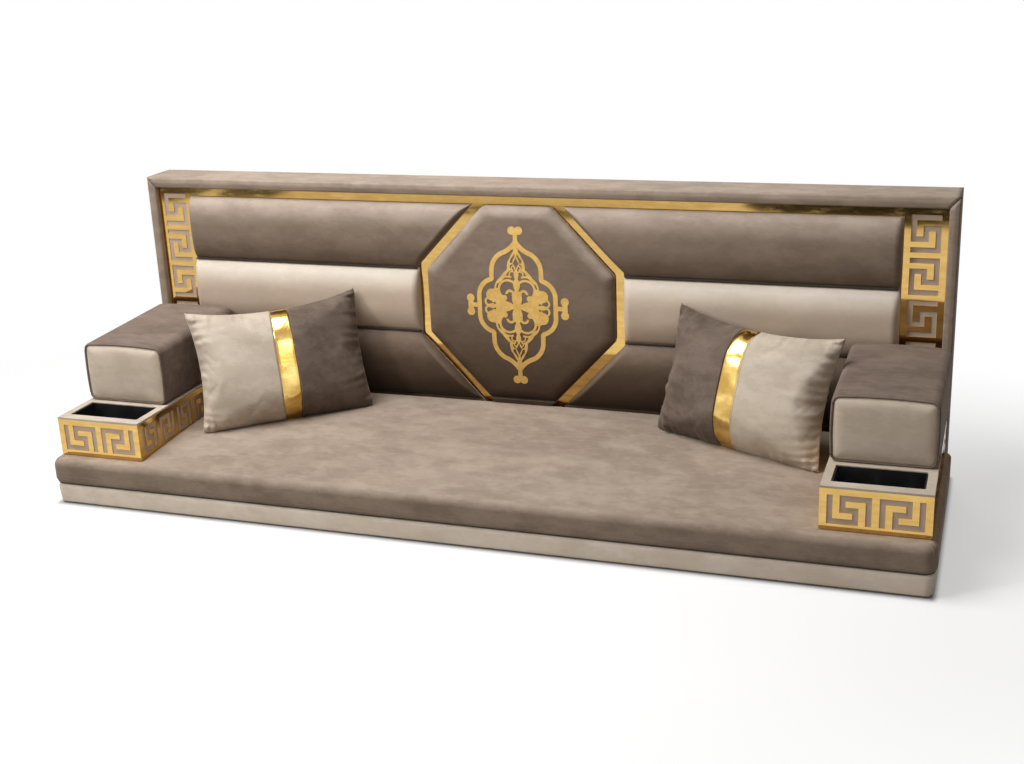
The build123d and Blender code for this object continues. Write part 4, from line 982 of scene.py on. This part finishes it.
def sideRuns(low, high, spot):
    # Runs along the sides of a rectangle, short of its corners; spot places a point of it
    corners = [(low[0], low[1]), (high[0], low[1]), (high[0], high[1]), (low[0], high[1])]
    shares = np.linspace(0.02, 0.98, 12)
    return [[spot(ax + (bx - ax) * t, ay + (by - ay) * t) for t in shares]
            for (ax, ay), (bx, by) in zip(corners, corners[1:] + corners[:1])]


def stitchSeat():
    m = mattress
    ring = mattressRing(-m["stitchOut"], np.linspace(-coreX, coreX, 90), np.linspace(coreLow, coreHigh, 30))
    path = frontRun(ring, m["bottom"] + m["foot"] + m["stitchRise"])
    rowAlong("seatStitches", [path], "stitch", seamThread)


def stapleCloths():
    # Staples hold the dust cloth under the platform and the cloth on the back
    q, edge = plinth, rowOf["sheetIn"]
    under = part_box("base_dust_cloth")[0][2] - rowOf["under"]
    paths = sideRuns((-q["half"] + edge, q["front"] + edge), (q["half"] - edge, q["rear"] - edge),
                     lambda x, y: (x, y, under))
    (_, _, foot), (half, behind, top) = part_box("back_rear_cover")
    edge = rowOf["coverIn"]
    paths += sideRuns((-half + edge, foot + edge), (half - edge, top - edge),
                      lambda x, z: (x, behind + rowOf["behind"], z))
    rowAlong("clothStaples", paths, "staple", zincSteel)


stitchSeat()
stapleCloths()
print("stitches laid")

# Pillows: two sheets sewn at the edge and filled; each stands on its lower edge and leans back
pillow = {"width": 0.470, "height": 0.332, "thickness": 0.136, "draw": -0.003, "bulge": 0.012,
          "rough": 0.0012, "outerEdge": 0.025, "innerEdge": 0.015, "topEdge": 0.035, "footEdge": 0.001,
          "calm": 40,
          "pleat": 0.038, "pleatReach": 0.03, "footReach": 0.021, "pleatStart": 0.006, "pleatShare": 0.42,
          "bluntX": 0.006, "bluntY": 0.0048, "band": 0.047, "shift": 0.014, "bandLift": 0.0007,
          "stitchLift": 0.0003, "backGap": 0.0015, "armFace": 0.858, "across": 104, "up": 74, "frames": 26,
          "cloth": {"quality": 6, "mass": 0.15, "tension_stiffness": 12.0, "compression_stiffness": 12.0,
                    "shear_stiffness": 6.0, "bending_stiffness": 0.12, "air_damping": 2.0,
                    "use_pressure": True, "uniform_pressure_force": 5.0}}
pillowPlaces = {
    "left": {"sign": -1, "turn": 33.0, "lean": 19.0, "roll": 2.7, "sideGap": 0.008, "lift": 0.0301,
             "shift": 0.005},
    "right": {"sign": 1, "turn": -20.0, "lean": 17.0, "roll": -2.5, "sideGap": -0.010, "lift": 0.0307,
              "shift": 0.008}}


def pillowFrame(spot):
    # Where the middle of the lower edge is, and the pillow's own three directions
    sign = spot["sign"]
    turn, lean, roll = (math.radians(spot[k]) for k in ("turn", "lean", "roll"))
    along = Vector((math.cos(turn), math.sin(turn), 0))
    behind = Vector((-math.sin(turn), math.cos(turn), 0))
    upward = Vector((0, 0, 1)) * math.cos(lean) + behind * math.sin(lean)
    wide = along * math.cos(roll) + upward * math.sin(roll)
    high = upward * math.cos(roll) - along * math.sin(roll)
    reachX = wide.x * pillow["width"] / 2 + sign * high.x * pillow["height"]
    reachY = -sign * wide.y * pillow["width"] / 2 + high.y * pillow["height"]
    origin = Vector((sign * (pillow["armFace"] - spot["sideGap"] - reachX),
                     backPads["front"] - pillow["backGap"] - reachY, mattress["edgeTop"] + spot["lift"]))
    return np.array(origin), np.array(wide), np.array(high), np.array(wide.cross(high))


def calmed(grid):
    # Evens out a grid of numbers; its edge is evened only along itself, and the corners stay
    grid = grid.copy()
    for _ in range(pillow["calm"]):
        inner = (grid[1:-1, :-2] + grid[1:-1, 2:] + grid[:-2, 1:-1] + grid[2:, 1:-1]) / 4
        foot = (grid[[0, -1], :-2] + grid[[0, -1], 2:]) / 2
        edge = (grid[:-2][:, [0, -1]] + grid[2:][:, [0, -1]]) / 2
        grid[1:-1, 1:-1] = inner
        grid[[0, -1], 1:-1] = foot
        grid[1:-1, 0], grid[1:-1, -1] = edge[:, 0], edge[:, 1]
    return grid


def pillowSheets(u, v, seed):
    # Front and back grids that share their rim, and where each point of the back grid is kept
    g = pillow
    gridU, gridV = np.meshgrid(u, v)
    x = gridU * g["width"] / 2 - np.sign(gridU) * g["draw"] * (1 - gridV ** 2) * np.abs(gridU)
    y = gridV * g["height"] / 2 - np.sign(gridV) * g["draw"] * (1 - gridU ** 2) * np.abs(gridV)
    rough = smoothNoise(seed, 40, 30.0, 140.0)
    flat = np.column_stack([x.ravel(), y.ravel(), np.zeros(x.size)])
    bulge = ((1 - gridU ** 2) * (1 - gridV ** 2)).ravel() * g["bulge"]
    rim = ((np.abs(gridU) > 0.9999) | (np.abs(gridV) > 0.9999)).ravel()
    front, back = flat.copy(), flat.copy()
    front[:, 2] += bulge + rough(flat) * g["rough"] * ~rim
    back[:, 2] -= bulge + rough(-flat) * g["rough"] * ~rim
    backIndex = np.arange(len(flat))
    backIndex[~rim] = len(flat) + np.arange((~rim).sum())
    faces = ringFaces(len(v), len(u), 0, False)
    faces += [tuple(int(backIndex[i]) for i in reversed(face)) for face in faces]
    return np.concatenate([front, back[~rim]]), faces, backIndex


def blownUp(points, faces):
    # Cloth with pressure inside and gravity off, then set to the pillow's size
    g = pillow
    mesh = bpy.data.meshes.new("pillowSheets")
    mesh.from_pydata([tuple(p) for p in points], [], faces)
    holder = addObject("pillowSheets", mesh)
    cloth = holder.modifiers.new("Cloth", "CLOTH")
    cloth.point_cache.frame_start, cloth.point_cache.frame_end = 1, g["frames"]
    cloth.collision_settings.use_collision = False
    cloth.settings.effector_weights.gravity = 0
    for key, value in g["cloth"].items():
        setattr(cloth.settings, key, value)
    for step in range(1, g["frames"] + 1):
        bpy.context.scene.frame_set(step)
    ready = holder.evaluated_get(bpy.context.evaluated_depsgraph_get())
    blown = np.empty(len(points) * 3)
    ready.data.vertices.foreach_get("co", blown)
    blown = blown.reshape(-1, 3)
    bpy.context.scene.frame_set(1)
    bpy.data.objects.remove(holder)
    bpy.data.meshes.remove(mesh)
    size = blown.max(0) - blown.min(0)
    print("pillow filled to", [round(float(s), 3) for s in size])
    wanted = np.array((g["width"], g["height"], g["thickness"]))
    return (blown - (blown.min(0) + blown.max(0)) / 2) * (wanted / size)


def drawIn(sheets, size, edges, along, across):
    # The sewn edges curve in between their corners, and the cloth beside them follows
    drawn = 0.5 * np.sqrt(1 - along ** 2) + 0.5 * (1 - along ** 2)
    lowMiss = -size / 2 + edges[0] * drawn - sheets[0][:, 0]
    highMiss = size / 2 - edges[1] * drawn - sheets[0][:, -1]
    for sheet in sheets:
        sheet += lowMiss[:, None] * ((1 - across) / 2) ** 1.5 + highMiss[:, None] * ((1 + across) / 2) ** 1.5


def addPleats(grids, u, v, seed):
    # Short pleats run in from the seams, and the corners are blunt
    g = pillow
    x, y = np.meshgrid(u * g["width"] / 2, v * g["height"] / 2)
    fromSide, fromFoot = g["width"] / 2 - np.abs(x), g["height"] / 2 - np.abs(y)
    tip = np.clip((np.abs(x) / g["width"] * 2 - 0.9) / 0.1, 0, 1)
    tip = tip * np.clip((np.abs(y) / g["height"] * 2 - 0.88) / 0.12, 0, 1)
    most = g["pleatShare"] * np.abs(grids[0][:, :, 2] - grids[1][:, :, 2]) / 2
    sideFade = np.exp(-fromSide / g["pleatReach"]) * np.clip(fromSide / g["pleatStart"], 0, 1)
    footFade = np.exp(-fromFoot / g["footReach"]) * np.clip(fromFoot / g["pleatStart"], 0, 1)
    zero = np.zeros(x.shape)
    for number, grid in enumerate(grids):
        ripples = smoothNoise(seed * 3 + number, 40, 170.0, 420.0)
        slow = smoothNoise(seed * 5 + number, 20, 20.0, 60.0)(grid)
        alongSide = ripples(np.stack([np.sign(x) * 0.3, y * (1 + 0.05 * slow), zero], -1))
        alongFoot = ripples(np.stack([x, zero, np.sign(y) * 0.2], -1))
        power = 0.6 + 0.8 * (slow > -0.05)
        pleats = alongSide * sideFade + alongFoot * footFade
        grid[:, :, 2] += np.clip(pleats * power * g["pleat"], -most, most)
        grid[:, :, 0] -= np.sign(x) * tip * g["bluntX"]
        grid[:, :, 1] -= np.sign(y) * tip * g["bluntY"]


def fillPillow(u, v, seed, outerSide):
    g = pillow
    points, faces, backIndex = pillowSheets(u, v, seed)
    blown = blownUp(points, faces)
    # The creases stay in the depth; across and up, the cloth is evened out and its sewn edge set
    grids = [blown[:len(backIndex)].reshape(len(v), len(u), 3).copy(),
             blown[backIndex].reshape(len(v), len(u), 3).copy()]
    for grid in grids:
        grid[:, :, 0], grid[:, :, 1] = calmed(grid[:, :, 0]), calmed(grid[:, :, 1])
    edges = (g["innerEdge"], g["outerEdge"])[::outerSide]
    drawIn([grid[:, :, 0] for grid in grids], g["width"], edges, v, u)
    drawIn([grid[:, :, 1].T for grid in grids], g["height"], (g["footEdge"], g["topEdge"]), u, v)
    addPleats(grids, u, v, seed)
    return grids


def buildPillow(side, spot):
    g = pillow
    origin, wide, high, out = pillowFrame(spot)
    taupeSide = -spot["sign"]
    near, far = sorted(taupeSide * (g["shift"] + s * g["band"] / 2) * 2 / g["width"] for s in (-1, 1))
    u = np.linspace(-1, 1, g["across"] + 1)
    for limit in (near, far):
        u[np.argmin(np.abs(u - limit))] = limit
    v = np.linspace(-1, 1, g["up"] + 1)
    grids = fillPillow(u, v, 100 + (spot["sign"] > 0), spot["sign"])
    middle = origin + high * g["height"] / 2 + wide * spot["sign"] * spot["shift"]
    own = np.array((wide, high, out))
    # Stitches along both edges of the band, front and back
    seams = []
    for grid in grids:
        for limit, step in ((near, -1), (far, 1)):
            column = int(np.argmin(np.abs(u - limit)))
            line = grid[2:-2, column] * 0.6 + grid[2:-2, column + step] * 0.4
            line[:, 2] += np.sign(grid[g["up"] // 2, column, 2]) * g["stitchLift"]
            seams.append(middle + line @ own)
    rowAlong(f"pillowStitches_{side}", seams, "stitch", seamThread, f"pillow_{side}")
    # The taupe part lies towards the middle of the sofa
    finishes = {"beige": (creamVelvet, "beige_part"), "band": (goldBand, "gold_band"),
                "taupe": (pillowVelvet, "taupe_part")}
    limits = (-1, near, far, 1)
    for part, low, top in zip(("beige", "band", "taupe")[::taupeSide], limits, limits[1:]):
        keep = np.where((u >= low - 1e-9) & (u <= top + 1e-9))[0]
        lift = np.full(len(keep), g["bandLift"] if part == "band" else 0.0)
        lift[[0, -1]] *= 0.2
        sheets = []
        for grid in grids:
            sheet = grid[:, keep].copy()
            sheet[:, :, 2] += np.sign(sheet[:, :, 2]) * lift
            sheets.append(middle + sheet.reshape(-1, 3) @ own)
        points = np.concatenate(sheets)
        finish, node = finishes[part]
        newPiece(f"pillow_{side}_{part}", points, sheetFaces(points, len(v), len(keep)), finish,
                 f"pillow_{side}", [f"pillow_{side}_{node}"], 0.7)


for side, spot in pillowPlaces.items():
    buildPillow(side, spot)
print("pillows built")

# Floor, reflection discs, lamps and world. A lamp is power, size and place; a disc is middle, half sizes and
# the tone it glows with.
studio = {"sky": 0.1, "skyTone": (1.0, 0.95, 0.88), "aim": (0.1, 0.0, 0.3), "floorHalf": 14,
          "lamps": {"key": (100.0, 1.9, (-0.95, -0.6, 2.95)), "leftFront": (66.0, 0.8, (-3.0, -3.1, 2.45)),
                    "rightFront": (8.0, 0.8, (1.9, -3.1, 2.3)), "rear": (34.0, 1.6, (0.3, 3.2, 2.4))},
          "floorGlow": 0.5, "pageTone": 0.5, "floorTone": (0.42, 0.39, 0.35), "pageReach": (1.5, 2.6),
          "pageStretch": (1.0, 1.7, 1.0), "underSide": (1.102, 1.122), "underFront": (-0.362, -0.338),
          "underRear": (0.35, 0.37), "discRise": 0.004, "discStep": 0.002, "discPoints": 48,
          "reflectionDiscs": [(-1.5, -3.15, 1.5, 0.42, 0.80), (0.86, -3.3, 0.9, 0.5, 0.02),
                     (-2.72, -3.2, 0.22, 0.2, 0.07), (-3.4, -3.1, 0.42, 0.42, 0.09),
                     (-1.15, -2.84, 0.6, 0.09, 0.06)]}
white = (1.0, 1.0, 1.0)


def ownTree(holder, kind="ShaderNodeOutputMaterial"):
    # An empty node tree for a material or the world, and its output's input
    holder.use_nodes = True
    holder.node_tree.nodes.clear()
    return holder.node_tree, holder.node_tree.nodes.new(kind).inputs[0]


def seenRays(tree, *kinds):
    rays = tree.nodes.new("ShaderNodeLightPath")
    seen = [Signal(tree, rays.outputs[f"Is {kind} Ray"]) for kind in kinds]
    return sum(seen[1:], seen[0])


def glowing(tree, tone, strength):
    return addNode(tree, "ShaderNodeEmission", values=[tone, strength])


def stagePiece(name, points, material):
    mesh = bpy.data.meshes.new(name)
    mesh.from_pydata(points, [], [tuple(range(len(points)))])
    mesh.materials.append(material)
    piece = addObject(name, mesh)
    return piece


def layFloor():
    material = bpy.data.materials.new("studioFloor")
    tree, end = ownTree(material)
    paper = addNode(tree, "ShaderNodeBsdfDiffuse", values=[studio["floorTone"]])
    pale = addNode(tree, "ShaderNodeBsdfDiffuse", values=[(studio["pageTone"],) * 3])
    both = addNode(tree, "ShaderNodeAddShader", values=[pale, glowing(tree, white, studio["floorGlow"])])
    # Away from the sofa the floor is plain white page, and near it the soft shadow shows
    away = addNode(tree, "ShaderNodeVectorMath", {"operation": "LENGTH"},
                   [stretched(tree, studio["pageStretch"])], 1)
    # Painted shadow: under the sofa and in a narrow strip in front of it, the floor's glow is left out
    spread, depth = (addNode(tree, "ShaderNodeSeparateXYZ", values=[place(tree)], output=axis)
                     for axis in (0, 1))
    aside = addNode(tree, "ShaderNodeMath", {"operation": "ABSOLUTE"}, [spread])
    paintedShadow = (1 - aside.between(*studio["underSide"])) * depth.between(*studio["underFront"]) \
        * (1 - depth.between(*studio["underRear"]))
    near = addNode(tree, "ShaderNodeMixShader", values=[paintedShadow, both, pale])
    shown = addNode(tree, "ShaderNodeMixShader",
                    values=[away.between(*studio["pageReach"]), near, glowing(tree, white, 1.0)])
    chosen = addNode(tree, "ShaderNodeMixShader", values=[seenRays(tree, "Camera", "Glossy"), paper, shown])
    tree.links.new(chosen.socket, end)
    half = studio["floorHalf"]
    corners = [(-half, -half, 0), (half, -half, 0), (half, half, 0), (-half, half, 0)]
    stagePiece("studioFloor", corners, material)


def layReflectionDiscs():
    # Glowing discs on the floor in front, out of the picture and seen only in reflections, give the gold
    # something to mirror: painted reflections.
    angles = np.linspace(0, 2 * math.pi, studio["discPoints"], endpoint=False)
    for number, (x, y, halfX, halfY, tone) in enumerate(studio["reflectionDiscs"]):
        material = bpy.data.materials.new(f"reflectionDisc{number}")
        tree, end = ownTree(material)
        tree.links.new(glowing(tree, (tone, tone * 0.97, tone * 0.92), 1.0).socket, end)
        rise = studio["discRise"] + studio["discStep"] * number
        ring = [(x + halfX * math.cos(a), y + halfY * math.sin(a), rise) for a in angles]
        cloth = stagePiece(f"reflectionDisc{number}", ring, material)
        cloth.visible_camera = cloth.visible_diffuse = cloth.visible_shadow = False


def buildWorld():
    world = bpy.data.worlds.new("studioWorld")
    bpy.context.scene.world = world
    tree, end = ownTree(world, "ShaderNodeOutputWorld")
    sky = addNode(tree, "ShaderNodeBackground", values=[studio["skyTone"], studio["sky"]])
    page = addNode(tree, "ShaderNodeBackground", values=[white, 1.0])
    seen = seenRays(tree, "Camera", "Glossy", "Transmission")
    tree.links.new(addNode(tree, "ShaderNodeMixShader", values=[seen, sky, page]).socket, end)


def hangLamps():
    for name, (energy, size, spot) in studio["lamps"].items():
        data = bpy.data.lights.new(name + "Lamp", "AREA")
        data.shape, data.size, data.energy = "SQUARE", size, energy
        holder = addObject(name + "Lamp", data)
        holder.location = spot
        aim = Vector(studio["aim"]) - holder.location
        holder.rotation_euler = aim.to_track_quat("-Z", "Y").to_euler()


layFloor()
layReflectionDiscs()
buildWorld()
hangLamps()
bpy.context.scene.view_settings.view_transform = "Standard"
print("studio ready")
